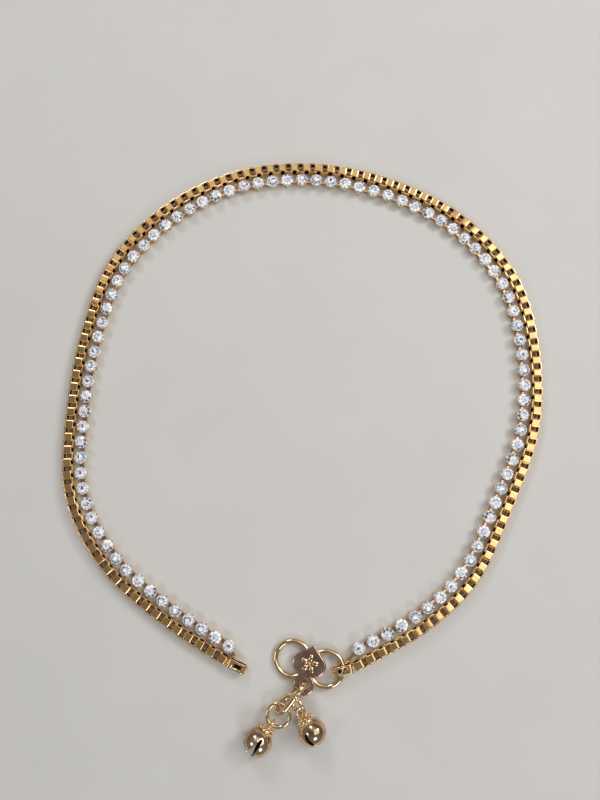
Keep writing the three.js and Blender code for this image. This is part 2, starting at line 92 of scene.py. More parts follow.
LEFT_RING_PLACE, LEFT_CUT_ANGLE = (-4.36, -45.03, 1.65), 100
RIGHT_RING_PLACE, RIGHT_RING_HEADING = (-1.43, -42.93, 2.95), -55
RIGHT_RING_STEEPNESS, RIGHT_RING_EYE_ANGLE = 63, -15
BELL_RADIUS, BELL_SPREAD, BELL_REST_HEIGHT = 2.25, 1.08, 2.31
CAP_RADIUS, CAP_TOP, CAP_HEIGHT = 1.4, 2.8, 0.85
BELL_EYE_HEIGHT, BELL_EYE_RADIUS, BELL_EYE_WIRE = 3.4, 0.8, 0.4
SLIT_MOUTH, SLIT_END, SLIT_REACH = 1.3, 0.26, 1.0
LEFT_BELL_HEADING, RIGHT_BELL_HEADING, RIGHT_SLIT_TURN = -130, -60, 36

# Box links and the strand's ends, in mm: how far the last link reaches past the tube's end on the left and
# right, the tongue of a tip toward it, and the solder bead on a tie's end
LINK_EDGE, LINK_CORNER_STEPS, LINK_PLAY, LINK_INSET = 0.07, 3, 0.04, 0.05
LEFT_REACH, RIGHT_REACH = 0.14, 0.04
TONGUE_REACH, TONGUE_WIDTH, BEAD_RADIUS = 0.1, 0.7, 0.27
TIE_START, BAR_REACH, TIP_EDGE = 0.8, 0.65, 0.08
# How far the cutter of a tip's window reaches under and over the upper leaf, in mm
WINDOW_BELOW, WINDOW_ABOVE = 0.2, 0.3

# Stones and foil: rings as shares of the stone's radius and the crown's height, depths and walls in mm
STAR_SHARE, STAR_RISE, WAIST_SHARE = 0.79, 0.56, 0.5
GIRDLE_EDGE, WAIST_DEPTH, POINT_DEPTH = 0.03, 0.45, 0.86
TABLE_INNER_SHARE, TABLE_SHIFT = 0.6, Vector((0.12, 0.07, 0))
FOIL_DROP, FOIL_WAIST_DEPTH, FOIL_POINT_DEPTH = 0.05, 0.46, 0.87
FOIL_WALL, FOIL_POINT_WALL = 0.05, 0.08
# Step of the even spread of numbers from facet to facet
FACET_STEP = 0.61803

# Claw cups, in mm, with the scallops between the claws
CUP_WALL, CUP_RIM, CUP_FLOOR_LOW, CUP_FLOOR_HIGH, CUP_FLOOR_INSET = 0.11, 0.02, 0.02, 0.14, 0.02
SCALLOP_DEPTH, SCALLOP_END, SCALLOP_RUN, CUP_FLARE = 0.5, 0.8, 0.35, 0.8
CUP_COLUMNS, CUP_ROWS, CLAW_SIDES = 40, 5, 8
# A claw's sections from foot to tip, in mm: outward from the stone's edge, up from the girdle, half width
CLAW_SECTIONS = [
    (-0.04, -0.5, 0.15), (-0.02, -0.15, 0.16), (-0.01, 0.05, 0.15),
    (-0.07, 0.19, 0.13), (-0.17, 0.25, 0.1), (-0.24, 0.25, 0.05),
]
CLAW_DEPTH, CLAW_RISE = 0.09, 0.05

# Heart plate's rounded rim and the blossom on it, in mm
PLATE_RIM = 0.24
PETAL_COUNT, PETAL_SIZE, PETAL_REACH = 5, (0.64, 0.44, 0.2), 0.95
BLOSSOM_SHIFT, BOSS_RADIUS, BOSS_SQUASH = 0.12, 0.3, 0.5

# Bells, in mm and degrees: the wall ends under the cap at an angle, and the slit's inner end is rounded
BELL_INSET, BELL_WALL, BELL_LIP, BELL_WALL_END = 0.03, 0.26, 0.05, 66
BELL_ROWS, BELL_COLUMNS, MOUTH_SHARE, SLIT_ROUND = 34, 26, 0.52, 0.25
# The cap's outline as shares of its radius and height, from the rim to the top
CAP_DOME = [(1, 0.1), (1, 0.2), (0.96, 0.42), (0.84, 0.66), (0.64, 0.85), (0.36, 0.96), (0, 1)]
# Under the cap's rim: share of its radius and how far down, in mm
CAP_FOOT = [(0, 0.2), (0.84, 0.1), (0.96, 0)]
# Rows of granules on the cap: how many, share of its radius, share of its height, and their radius in mm
GRANULE_ROWS = [(16, 1.0, 0.14, 0.2), (12, 0.93, 0.5, 0.17), (9, 0.68, 0.84, 0.16)]
# How much thinner a ring's wire is than its faceted solid, in mm, so that it stays inside
WIRE_INSET = 0.01

# How far from a flat's edge a line of vertices keeps its shading flat, in mm
SUPPORT = 0.05
# A face whose normal points this far back at the line inside a piece counts as looking inward and gets painted
# shade
PAINTED_SHADE_LIMIT = -0.8

# Platings: colour where it is clear, colour where it is deep, and strength of the bump
PLATINGS = {
    "chain_plating": ((0.95, 0.67, 0.31), (0.84, 0.48, 0.21), 0.3),
    "clasp_plating": ((0.9, 0.7, 0.45), (0.74, 0.53, 0.3), 0.15),
    "tip_plating": ((1.0, 0.77, 0.42), (0.93, 0.62, 0.3), 0.3),
    "bar_plating": ((0.82, 0.5, 0.28), (0.68, 0.36, 0.18), 0.3),
    "claw_plating": ((0.97, 0.8, 0.56), (0.86, 0.62, 0.36), 0.2),
    "plate_plating": ((0.86, 0.6, 0.47), (0.42, 0.26, 0.2), 0.35),
    "bell_plating": ((0.88, 0.66, 0.43), (0.38, 0.25, 0.17), 0.1),
    # The bells' inner wall: painted shade, far darker than the outside
    "bell_inside_painted_shade": ((0.2, 0.14, 0.08), (0.1, 0.07, 0.04), 0.3),
}
# Colour of the painted shade on faces that look inward, inside the links and the end tips
PAINTED_SHADE_COLOR = (0.08, 0.04, 0.018, 1)
# Noise in the plating in waves per metre, where a cloud begins and ends, and what scratches and fine grain
# add to the roughness, and the bump's height in mm
CLOUD_SCALE, SCRATCH_SCALE, FINE_SCALE = 420, 900, 5200
CLOUD_START, CLOUD_END = 0.35, 0.7
SCRATCH_ROUGHNESS, FINE_ROUGHNESS = 0.12, 0.1
BUMP_HEIGHT = 0.005

# Painted reflections on a stone's facets and on the foil behind them: pale, cool, warm and dark
CRYSTAL_PAINTED_REFLECTIONS = [(1.0, 1.0, 1.0), (0.64, 0.83, 1.0), (0.9, 0.79, 0.9), (0.14, 0.13, 0.17)]
FOIL_PAINTED_REFLECTIONS = [(1.0, 1.0, 1.0), (0.8, 0.9, 1.0), (0.95, 0.86, 0.96), (0.05, 0.04, 0.07)]
# Facet numbers at which the next colour begins, and how wide the change is
COLOR_STARTS, COLOR_CHANGE = (("Cool", 0.44), ("Warm", 0.66), ("Dark", 0.82)), 0.05
# Painted glint, a glow on pale facets: those with a number under the first of these glow fully, and over the
# second not at all
PAINTED_GLINT_FULL, PAINTED_GLINT_END, PAINTED_GLINT_STRENGTH = 0.14, 0.3, 0.4
GLASS_IOR = 1.6

# Lights: place in metres, size in metres and colour
KEY_LIGHT = (0.2, 0.06, 0.36), (0.3, 0.34), (1.0, 0.97, 0.92)
UPPER_LIGHT = (0.0, 0.24, 0.36), (0.34, 0.22), (1.0, 0.96, 0.9)
SOFTBOX_DISTANCE, SOFTBOX_SIZE, SOFTBOX_COLOR = 0.36, (0.1, 0.1), (0.96, 0.98, 1.0)
# Softboxes: direction and height above the floor in degrees, and their share of the set power
SOFTBOXES = [(28, 42, 1.1), (112, 38, 0.9), (196, 46, 0.4), (292, 40, 0.8)]
SKY_COLOR = (1.0, 0.97, 0.94)
FLOOR_REACH, FLOOR_GRAIN_SCALE, FLOOR_GRAIN_SHADE = 1.5, 60, 0.965


# Lines and frames


def heading(degrees):
    """Unit vector in the plane of the floor, at an angle from +X."""
    return Vector((math.cos(math.radians(degrees)), math.sin(math.radians(degrees)), 0))


def spline_points(points, per_span):
    """A centripetal Catmull-Rom line through the points, with its end tangents run on straight."""
    nodes = [Vector(p) for p in points]
    nodes = [2 * nodes[0] - nodes[1]] + nodes + [2 * nodes[-1] - nodes[-2]]
    line = []
    for i in range(1, len(nodes) - 2):
        a, b, c, d = nodes[i - 1 : i + 3]
        before, here, after = math.sqrt((b - a).length), math.sqrt((c - b).length), math.sqrt((d - c).length)
        leave = ((b - a) / before - (c - a) / (before + here) + (c - b) / here) * here
        arrive = ((c - b) / here - (d - b) / (here + after) + (d - c) / after) * here
        for step in range(per_span):
            t = step / per_span
            cubic = 2 * b - 2 * c + leave + arrive
            square = -3 * b + 3 * c - 2 * leave - arrive
            line.append(b + leave * t + square * t * t + cubic * t ** 3)
    line.append(nodes[-2])
    return line


def stone_line():
    """Middle line of the stone string on the floor."""
    return spline_points([(x, y, 0) for x, y in STONE_ROUTE], 60)


def offset_line(line, distance, before, after, height):
    """The line moved to its left by a distance, raised, and run on straight past its two ends."""
    moved = []
    for i, point in enumerate(line):
        tangent = (line[min(i + 1, len(line) - 1)] - line[max(i - 1, 0)]).normalized()
        moved.append(point + UP.cross(tangent) * distance + UP * height)
    first = (moved[0] - moved[1]).normalized()
    last = (moved[-1] - moved[-2]).normalized()
    return [moved[0] + first * before, *moved, moved[-1] + last * after]


def line_length(line):
    """Length of a line of points."""
    return sum((b - a).length for a, b in zip(line, line[1:]))


def trimmed(line, start, end):
    """The line without a length at its start and at its end."""
    kept = list(line)
    for amount in (start, end):
        left = amount
        while (kept[1] - kept[0]).length < left:
            left -= (kept[1] - kept[0]).length
            kept.pop(0)
        kept[0] = kept[0] + (kept[1] - kept[0]).normalized() * left
        kept.reverse()
    return kept


def frame_at(place, along, near):
    """A frame with its X along one direction and its Y as near as can be to another."""
    x = along.normalized()
    z = x.cross(near).normalized()
    y = z.cross(x)
    return Matrix.Translation(place) @ Matrix((x, y, z)).transposed().to_4x4()


def clasp_frame():
    """Middle of the hook's wire between its two loops, +X to the right loop and +Y to the plate's point."""
    rise = (HOOK_SPACING / 2 + HOOK_RADIUS) * math.sin(math.radians(CLASP_TILT))
    turn = Matrix.Rotation(math.radians(CLASP_HEADING), 4, "Z")
    tilt = Matrix.Rotation(-math.radians(CLASP_TILT), 4, "Y")
    place = Vector((CLASP_PLACE[0], CLASP_PLACE[1], HOOK_WIRE / 2 + rise))
    return Matrix.Translation(place) @ turn @ tilt


def drop_ring_frame():
    """Middle of the drop ring, seated in the plate's eye, +X away from it."""
    along = heading(DROP_RING_HEADING)
    eye_height = HOOK_WIRE / 2 - PLATE_SINK + PLATE_THICKNESS / 2
    eye = clasp_frame() @ Vector((0, -EYE_TO_POINT / 2, eye_height))
    place = eye + along * ((DROP_RING_LENGTH - DROP_RING_WIRE) / 2 - DROP_RING_SEAT)
    return frame_at(place + UP * DROP_RING_LIFT, along, UP)


def left_ring_frame():
    """Middle of the left bell's ring, which lies flat, +X to its cut."""
    away = heading(LEFT_BELL_HEADING + LEFT_CUT_ANGLE)
    return frame_at(Vector(LEFT_RING_PLACE), away, UP.cross(away))


def right_ring_frame():
    """Middle of the right bell's ring, which stands steeply."""
    steep = math.radians(RIGHT_RING_STEEPNESS)
    near = heading(RIGHT_RING_HEADING + 90) * math.cos(steep) + UP * math.sin(steep)
    return frame_at(Vector(RIGHT_RING_PLACE), heading(RIGHT_RING_HEADING), near)


def bell_frame(eye, wire_direction, bell_heading):
    """A bell's frame: eye round a ring's wire, mouth at -Z, body down on the floor."""
    drop = (eye.z - BELL_REST_HEIGHT) / BELL_EYE_HEIGHT
    axis = heading(bell_heading) * -math.sqrt(1 - drop * drop) + UP * drop
    x = (wire_direction - axis * wire_direction.dot(axis)).normalized()
    turn = Matrix((x, axis.cross(x), axis)).transposed().to_4x4()
    return Matrix.Translation(eye - axis * BELL_EYE_HEIGHT) @ turn


def bell_frames():
    """Frames of the left and right bell, each hung on its ring's wire."""
    reach = (BELL_RING_DIAMETER - BELL_RING_WIRE) / 2
    out = heading(LEFT_BELL_HEADING)
    left = bell_frame(Vector(LEFT_RING_PLACE) + out * reach, UP.cross(out), LEFT_BELL_HEADING)
    ring = right_ring_frame()
    angle = math.radians(RIGHT_RING_EYE_ANGLE)
    eye = ring @ Vector((reach * math.cos(angle), reach * math.sin(angle), 0))
    tangent = ring.to_3x3() @ Vector((-math.sin(angle), math.cos(angle), 0))
    return left, bell_frame(eye, tangent, RIGHT_BELL_HEADING)


def ring_line(length, width, lean, cut, steps):
    """Middle line of a wire ring: an oval with straight sides, twisted along its length, cut at +X."""
    half_length, half_width = length / 2, width / 2
    straight = 2 * (half_length - half_width)
    quarter = math.pi / 2 * half_width
    half = math.pi * half_width + straight
    points = []
    for i in range(steps + 1):
        distance = cut / 2 + i / steps * (2 * half - cut)
        near = min(distance, 2 * half - distance)
        if near <= quarter:
            angle = near / half_width
            x, y = straight / 2 + half_width * math.cos(angle), half_width * math.sin(angle)
        elif near <= quarter + straight:
            x, y = straight / 2 - (near - quarter), half_width
        else:
            angle = math.pi / 2 + (near - quarter - straight) / half_width
            x, y = -straight / 2 + half_width * math.cos(angle), half_width * math.sin(angle)
        if distance > half:
            y = -y
        share = (x + half_length) / (2 * half_length)
        angle = math.radians(lean[0] + (lean[1] - lean[0]) * share)
        points.append(Vector((x, y * math.cos(angle), y * math.sin(angle))))
    return points


def hook_line():
    """Middle line of the S-shaped hook, from one loose end round both loops to the other."""
    steps = 16
    middle = Vector((-HOOK_SPACING / 2, 0, 0))
    swing = 360 - HOOK_CROSS_ANGLE - HOOK_END_ANGLE
    loop = [middle + heading(HOOK_END_ANGLE + swing * i / steps) * HOOK_RADIUS for i in range(steps + 1)]
    return spline_points(loop + [-p for p in reversed(loop)], 6)


def bezier(a, b, c, d, steps):
    """Points on a cubic arc after its first one."""
    points = []
    for i in range(1, steps + 1):
        t = i / steps
        s = 1 - t
        points.append(a * s ** 3 + b * 3 * s * s * t + c * 3 * s * t * t + d * t ** 3)
    return points


# Meshes


class Shape:
    """Vertices and faces in mm, gathered from several forms."""

    def __init__(self):
        self.points = []
        self.faces = []

    def add(self, points, faces, matrix=None):
        """Adds a form, moved by a matrix if one is given."""
        start = len(self.points)
        self.points += [matrix @ Vector(p) if matrix else Vector(p) for p in points]
        self.faces += [tuple(start + i for i in face) for face in faces]
        return self

    def join(self, other, matrix=None):
        """Adds all forms of another shape."""
        return self.add(other.points, other.faces, matrix)

    def mesh(self, name, crease=35, merge=1e-4, shift=SHIFT):
        """A mesh in metres in the row frame: doubles merged, normals outward, sharp edges marked."""
        mesh = bpy.data.meshes.new(name)
        mesh.from_pydata([(p + shift) * MM for p in self.points], [], self.faces)
        work = bmesh.new()
        work.from_mesh(mesh)
        bmesh.ops.remove_doubles(work, verts=work.verts, dist=merge * MM)
        bmesh.ops.recalc_face_normals(work, faces=work.faces)
        for face in work.faces:
            face.smooth = True
        work.to_mesh(mesh)
        work.free()
        mesh.set_sharp_from_angle(angle=math.radians(crease))
        return mesh


def mark_painted_shade(mesh, start, end):
    """Marks the faces that look inward at a line, which get painted shade: the metal there is coloured dark to
    stand for shade.
    """
    painted_shade = mesh.attributes.new("painted_shade", "FLOAT", "FACE")
    for face, item in zip(mesh.polygons, painted_shade.data):
        _, share = intersect_point_line(face.center, start, end)
        near = start.lerp(end, min(max(share, 0), 1))
        inward = face.normal.dot((face.center - near).normalized()) < PAINTED_SHADE_LIMIT
        item.value = 1.0 if inward else 0.0


def ring_faces(rows, width, closed=False):
    """Faces between rows of points that each run once round, and from the last row to the first if closed."""
    faces = []
    for i in range(rows if closed else rows - 1):
        here, there = i * width, (i + 1) % rows * width
        for j in range(width):
            k = (j + 1) % width
            faces.append((here + j, here + k, there + k, there + j))
    return faces


def end_faces(rows, width):
    """Faces that close the first and the last row of such points."""
    last = (rows - 1) * width
    return [tuple(reversed(range(width))), tuple(range(last, last + width))]


def sweep(line, section, closed=False, first_up=UP):
    """Points and faces of a section, given as (sideways, upward) pairs, drawn along a line."""
    count = len(line)
    points = []
    up = Vector(first_up)
    for i, place in enumerate(line):
        if closed:
            tangent = (line[(i + 1) % count] - line[i - 1]).normalized()
        else:
            tangent = (line[min(i + 1, count - 1)] - line[max(i - 1, 0)]).normalized()
        up = (up - tangent * up.dot(tangent)).normalized()
        side = tangent.cross(up)
        points += [place + side * across + up * height for across, height in section]
    faces = ring_faces(count, len(section), closed)
    if not closed:
        faces += end_faces(count, len(section))
    return points, faces


def round_section(radius, sides):
    """A wire's round section."""
    turns = [2 * math.pi * i / sides for i in range(sides)]
    return [(radius * math.cos(a), radius * math.sin(a)) for a in turns]


def strip_section(width, thickness, edge):
    """A flat strip's section with rounded long edges: thickness sideways, width upward."""
    x, y = thickness / 2, width / 2
    side, near = edge + SUPPORT, 0.3 * edge
    corner = [(x, y - side), (x, y - edge), (x - near, y - near), (x - edge, y)]
    upper = corner + [(-a, b) for a, b in reversed(corner)]
    return upper + [(-a, -b) for a, b in upper]


def lathe(profile, sides):
    """Points and faces of a profile of (radius, height) pairs turned round Z; ends on the axis close it."""
    points, faces, rows = [], [], []
    for radius, height in profile:
        if radius < 1e-6:
            rows.append([len(points)] * sides)
            points.append((0, 0, height))
            continue
        rows.append([len(points) + i for i in range(sides)])
        for i in range(sides):
            angle = 2 * math.pi * i / sides
            points.append((radius * math.cos(angle), radius * math.sin(angle), height))
    for low, high in zip(rows, rows[1:]):
        for i in range(sides):
            j = (i + 1) % sides
            corners = []
            for corner in (low[i], low[j], high[j], high[i]):
                if corner not in corners:
                    corners.append(corner)
            if len(corners) > 2:
                faces.append(tuple(corners))
    return points, faces


def ball(radius, sides=10, squash=1.0):
    """A ball, or one pressed flatter along Z."""
    steps = sides // 2
    turns = [math.pi * (i / steps - 0.5) for i in range(steps + 1)]
    return lathe([(max(radius * math.cos(a), 0), radius * squash * math.sin(a)) for a in turns], sides)


def ring_points(radius, height, count, turn=0.0):
    """Points evenly round Z, the first one turned by a share of a step."""
    return [heading(360 * (i + turn) / count) * radius + UP * height for i in range(count)]


def torus(radius, wire, steps, sides):
    """A closed wire ring round Z."""
    return sweep(ring_points(radius, 0, steps), round_section(wire / 2, sides), closed=True)


def bar(start, end, width, height, lift):
    """A flat bar with bevelled long edges between two places, its underside at a height."""
    middle = UP * (lift + height / 2)
    edge = 0.25 * height
    x, y = width / 2, height / 2
    half = [(x, y - edge), (x - edge, y), (edge - x, y), (-x, y - edge)]
    section = half + [(-a, -b) for a, b in half]
    return sweep([start + middle, start.lerp(end, 0.5) + middle, end + middle], section)


def show(name, mesh, slot, *nodes):
    """A piece at the origin that rides on the body and stands for the named solids."""
    piece = bpy.data.objects.new(name, mesh)
    bpy.context.scene.collection.objects.link(piece)
    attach(piece, "root")
    if nodes:
        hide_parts(*nodes)
    return piece


# Repeating pieces along a line


def repeat_tree():
    """Node tree that sets a piece along a line at even steps and turns every second one round the line."""
    tree = bpy.data.node_groups.new("Repeat Along Line", "GeometryNodeTree")
    face = tree.interface
    face.new_socket("Line", in_out="INPUT", socket_type="NodeSocketGeometry")
    face.new_socket("Piece", in_out="INPUT", socket_type="NodeSocketObject")
    for name, kind, value in (
        ("Count", "NodeSocketInt", 10),
        ("Turn", "NodeSocketFloat", 0.0),
        ("Unevenness", "NodeSocketFloat", 0.0),
        ("Seed", "NodeSocketInt", 1),
    ):
        socket = face.new_socket(name, in_out="INPUT", socket_type=kind)
        socket.default_value = value
    face.new_socket("Material", in_out="INPUT", socket_type="NodeSocketMaterial")
    face.new_socket("Geometry", in_out="OUTPUT", socket_type="NodeSocketGeometry")
    nodes, link = tree.nodes, tree.links.new
    given = nodes.new("NodeGroupInput")
    curve = nodes.new("GeometryNodeMeshToCurve")
    link(given.outputs["Line"], curve.inputs["Mesh"])
    even = nodes.new("GeometryNodeResampleCurve")
    link(curve.outputs["Curve"], even.inputs["Curve"])
    link(given.outputs["Count"], even.inputs["Count"])
    tangent = nodes.new("GeometryNodeInputTangent")
    align = nodes.new("FunctionNodeAlignRotationToVector")
    align.axis = "X"
    align.pivot_axis = "Z"
    link(tangent.outputs["Tangent"], align.inputs["Vector"])
    index = nodes.new("GeometryNodeInputIndex")
    second = nodes.new("ShaderNodeMath")
    second.operation = "MODULO"
    link(index.outputs["Index"], second.inputs[0])
    second.inputs[1].default_value = 2
    angle = nodes.new("ShaderNodeMath")
    angle.operation = "MULTIPLY"
    link(second.outputs[0], angle.inputs[0])
    link(given.outputs["Turn"], angle.inputs[1])
    about = nodes.new("ShaderNodeCombineXYZ")
    link(angle.outputs[0], about.inputs["X"])
    stray = nodes.new("FunctionNodeRandomValue")
    stray.data_type = "FLOAT_VECTOR"
    stray.inputs[0].default_value = (-1, -1, -1)
    link(given.outputs["Seed"], stray.inputs["Seed"])
    amount = nodes.new("ShaderNodeVectorMath")
    amount.operation = "SCALE"
    link(stray.outputs[0], amount.inputs[0])
    link(given.outputs["Unevenness"], amount.inputs["Scale"])
    whole = nodes.new("ShaderNodeVectorMath")
    link(about.outputs[0], whole.inputs[0])
    link(amount.outputs[0], whole.inputs[1])
    euler = nodes.new("FunctionNodeEulerToRotation")
    link(whole.outputs[0], euler.inputs[0])
    turn = nodes.new("FunctionNodeRotateRotation")
    turn.rotation_space = "LOCAL"
    link(align.outputs["Rotation"], turn.inputs["Rotation"])
    link(euler.outputs[0], turn.inputs["Rotate By"])
    model = nodes.new("GeometryNodeObjectInfo")
    link(given.outputs["Piece"], model.inputs["Object"])
    place = nodes.new("GeometryNodeInstanceOnPoints")
    link(even.outputs["Curve"], place.inputs["Points"])
    link(model.outputs["Geometry"], place.inputs["Instance"])
    link(turn.outputs[0], place.inputs["Rotation"])
    tone = nodes.new("FunctionNodeRandomValue")
    tone.data_type = "FLOAT"
    link(given.outputs["Seed"], tone.inputs["Seed"])
    keep = nodes.new("GeometryNodeStoreNamedAttribute")
    keep.domain = "INSTANCE"
    keep.data_type = "FLOAT"
    keep.inputs["Name"].default_value = "tone"
    link(place.outputs["Instances"], keep.inputs["Geometry"])
    value = next(s for s in tone.outputs if s.enabled)
    link(value, keep.inputs["Value"])
    solid = nodes.new("GeometryNodeRealizeInstances")
    link(keep.outputs["Geometry"], solid.inputs["Geometry"])
    dress = nodes.new("GeometryNodeSetMaterial")
    link(solid.outputs["Geometry"], dress.inputs["Geometry"])
    link(given.outputs["Material"], dress.inputs["Material"])
    made = nodes.new("NodeGroupOutput")
    link(dress.outputs["Geometry"], made.inputs["Geometry"])
    return tree


def repeated(name, line, mesh, **values):
    """Plain mesh of a piece repeated along a line in mm by the node tree."""
    tree = bpy.data.node_groups.get("Repeat Along Line") or repeat_tree()
    rail = bpy.data.meshes.new(name + " line")
    rail.from_pydata([(p + SHIFT) * MM for p in line], [(i, i + 1) for i in range(len(line) - 1)], [])
    holder = bpy.data.objects.new(name + " line", rail)
    model = bpy.data.objects.new(name + " piece", mesh)
    for thing in (holder, model):
        bpy.context.scene.collection.objects.link(thing)
    modifier = holder.modifiers.new("Repeat", "NODES")
    modifier.node_group = tree
    sockets = {item.name: item.identifier for item in tree.interface.items_tree if item.in_out == "INPUT"}
    for key, value in {"Piece": model, **values}.items():
        modifier[sockets[key]] = value
    holder.update_tag()
    bpy.context.view_layer.update()
    evaluated = holder.evaluated_get(bpy.context.evaluated_depsgraph_get())
    plain = bpy.data.meshes.new_from_object(evaluated)
    plain.name = name
    holder.modifiers.clear()
    for thing in (holder, model):
        bpy.data.objects.remove(thing)
    if not plain.polygons:
        raise RuntimeError("nothing was made along the line of " + name)
    return plain


def merged_meshes(name, meshes):
    """One mesh out of several, each with its own material kept."""
    work = bmesh.new()
    whole = bpy.data.meshes.new(name)
    for mesh in meshes:
        start = len(whole.materials)
        before = len(work.faces)
        work.from_mesh(mesh)
        work.faces.ensure_lookup_table()
        for face in work.faces[before:]:
            face.material_index += start
        for material in mesh.materials:
            whole.materials.append(material)
    work.to_mesh(whole)
    work.free()
    return whole


# Materials


def shader_group(name, inputs, outputs):
    """An empty shader group with its sockets, and the nodes that hold its inputs and outputs."""
    tree = bpy.data.node_groups.new(name, "ShaderNodeTree")
    for label, kind, value in inputs:
        socket = tree.interface.new_socket(label, in_out="INPUT", socket_type=kind)
        socket.default_value = value
    for label, kind in outputs:
        tree.interface.new_socket(label, in_out="OUTPUT", socket_type=kind)
    return tree, tree.nodes.new("NodeGroupInput"), tree.nodes.new("NodeGroupOutput")


def noise_node(tree, coordinates, scale, detail=3.0, stretch=None):
    """Noise over the coordinates, drawn out along some of them if a stretch is given."""
    link = tree.links.new
    texture = tree.nodes.new("ShaderNodeTexNoise")
    texture.inputs["Scale"].default_value = scale
    texture.inputs["Detail"].default_value = detail
    source = coordinates
    if stretch:
        mapping = tree.nodes.new("ShaderNodeMapping")
        mapping.inputs["Scale"].default_value = stretch
        link(coordinates, mapping.inputs["Vector"])
        source = mapping.outputs["Vector"]
    link(source, texture.inputs["Vector"])
    return texture.outputs["Fac"]


def map_range(tree, value, low, high, to_low, to_high):
    """A value moved from one range to another."""
    node = tree.nodes.new("ShaderNodeMapRange")
    tree.links.new(value, node.inputs["Value"])
    for label, number in (("From Min", low), ("From Max", high), ("To Min", to_low), ("To Max", to_high)):
        node.inputs[label].default_value = number
    return node.outputs["Result"]


def mix_colors(tree, share, first, second):
    """A colour between two others, each a socket or a fixed colour."""
    node = tree.nodes.new("ShaderNodeMix")
    node.data_type = "RGBA"
    link = tree.links.new
    link(share, node.inputs[0])
    for socket, value in ((node.inputs[6], first), (node.inputs[7], second)):
        if isinstance(value, bpy.types.NodeSocket):
            link(value, socket)
        else:
            socket.default_value = value
    return node.outputs[2]


def plated_metal_group():
    """Cloudy plating with hairline scratches, and painted shade on faces marked as looking inward: colour,
    roughness and height.
    """
    tree, given, made = shader_group(
        "Plated Metal",
        [("Clear", "NodeSocketColor", (1, 1, 1, 1)), ("Deep", "NodeSocketColor", (1, 1, 1, 1))],
        [("Color", "NodeSocketColor"), ("Roughness", "NodeSocketFloat"), ("Height", "NodeSocketFloat")],
    )
    place = tree.nodes.new("ShaderNodeTexCoord").outputs["Object"]
    cloud = noise_node(tree, place, CLOUD_SCALE, 4)
    patch = map_range(tree, cloud, CLOUD_START, CLOUD_END, 0, 1)
    link = tree.links.new
    # Painted shade: faces marked as looking inward are coloured dark
    painted_shade = tree.nodes.new("ShaderNodeAttribute")
    painted_shade.attribute_name = "painted_shade"
    plating = mix_colors(tree, patch, given.outputs["Clear"], given.outputs["Deep"])
    link(mix_colors(tree, painted_shade.outputs["Fac"], plating, PAINTED_SHADE_COLOR), made.inputs["Color"])
    scratch = noise_node(tree, place, SCRATCH_SCALE, 2, (1, 9, 3))
    fine = noise_node(tree, place, FINE_SCALE, 2)
    rough = tree.nodes.new("ShaderNodeMath")
    rough.operation = "MULTIPLY_ADD"
    link(scratch, rough.inputs[0])
    rough.inputs[1].default_value = SCRATCH_ROUGHNESS
    link(map_range(tree, fine, 0.3, 0.8, 0.0, FINE_ROUGHNESS), rough.inputs[2])
    link(rough.outputs[0], made.inputs["Roughness"])
    link(fine, made.inputs["Height"])
    return tree


def facet_group():
    """Colour of a cut stone as painted reflections that differ from facet to facet and from stone to stone,
    with a painted glint on the palest facets.
    """
    tree, given, made = shader_group(
        "Facet Painted Reflections",
        [(name, "NodeSocketColor", (1, 1, 1, 1)) for name in ("Pale", "Cool", "Warm", "Dark")],
        [("Color", "NodeSocketColor"), ("Roughness", "NodeSocketFloat"), ("Painted Glint", "NodeSocketColor")],
    )
    link = tree.links.new
    facet = tree.nodes.new("ShaderNodeAttribute")
    facet.attribute_name = "facet"
    tone = tree.nodes.new("ShaderNodeAttribute")
    tone.attribute_name = "tone"
    both = tree.nodes.new("ShaderNodeMath")
    both.operation = "ADD"
    link(facet.outputs["Fac"], both.inputs[0])
    link(tone.outputs["Fac"], both.inputs[1])
    part = tree.nodes.new("ShaderNodeMath")
    part.operation = "FRACT"
    link(both.outputs[0], part.inputs[0])
    color = given.outputs["Pale"]
    for name, start in COLOR_STARTS:
        share = map_range(tree, part.outputs[0], start, start + COLOR_CHANGE, 0, 1)
        color = mix_colors(tree, share, color, given.outputs[name])
    link(color, made.inputs["Color"])
    link(map_range(tree, part.outputs[0], 0, 1, 0.02, 0.1), made.inputs["Roughness"])
    # Painted glint: the palest facets glow through the emission
    painted_glint_share = map_range(tree, part.outputs[0], PAINTED_GLINT_FULL, PAINTED_GLINT_END, 1, 0)
    link(mix_colors(tree, painted_glint_share, (0, 0, 0, 1), given.outputs["Pale"]), made.inputs["Painted Glint"])
    return tree


def group_of(name, maker):
    """The shader group of this name, made when it is first asked for."""
    return bpy.data.node_groups.get(name) or maker()


def new_material(name):
    """A new material with its node tree and its shader."""
    material = bpy.data.materials.new(name)
    material.use_nodes = True
    return material, material.node_tree, material.node_tree.nodes["Principled BSDF"]


def plated_metal(name):
    """The polished plated metal of this name, made when it is first asked for."""
    existing = bpy.data.materials.get(name)
    if existing:
        return existing
    clear, deep, bump = PLATINGS[name]
    material, tree, shader = new_material(name)
    group = tree.nodes.new("ShaderNodeGroup")
    group.node_tree = group_of("Plated Metal", plated_metal_group)
    group.inputs["Clear"].default_value = (*clear, 1)
    group.inputs["Deep"].default_value = (*deep, 1)
    link = tree.links.new
    link(group.outputs["Color"], shader.inputs["Base Color"])
    link(group.outputs["Roughness"], shader.inputs["Roughness"])
    shader.inputs["Metallic"].default_value = 1.0
    relief = tree.nodes.new("ShaderNodeBump")
    relief.inputs["Strength"].default_value = bump
    relief.inputs["Distance"].default_value = BUMP_HEIGHT * MM
    link(group.outputs["Height"], relief.inputs["Height"])
    link(relief.outputs["Normal"], shader.inputs["Normal"])
    return material


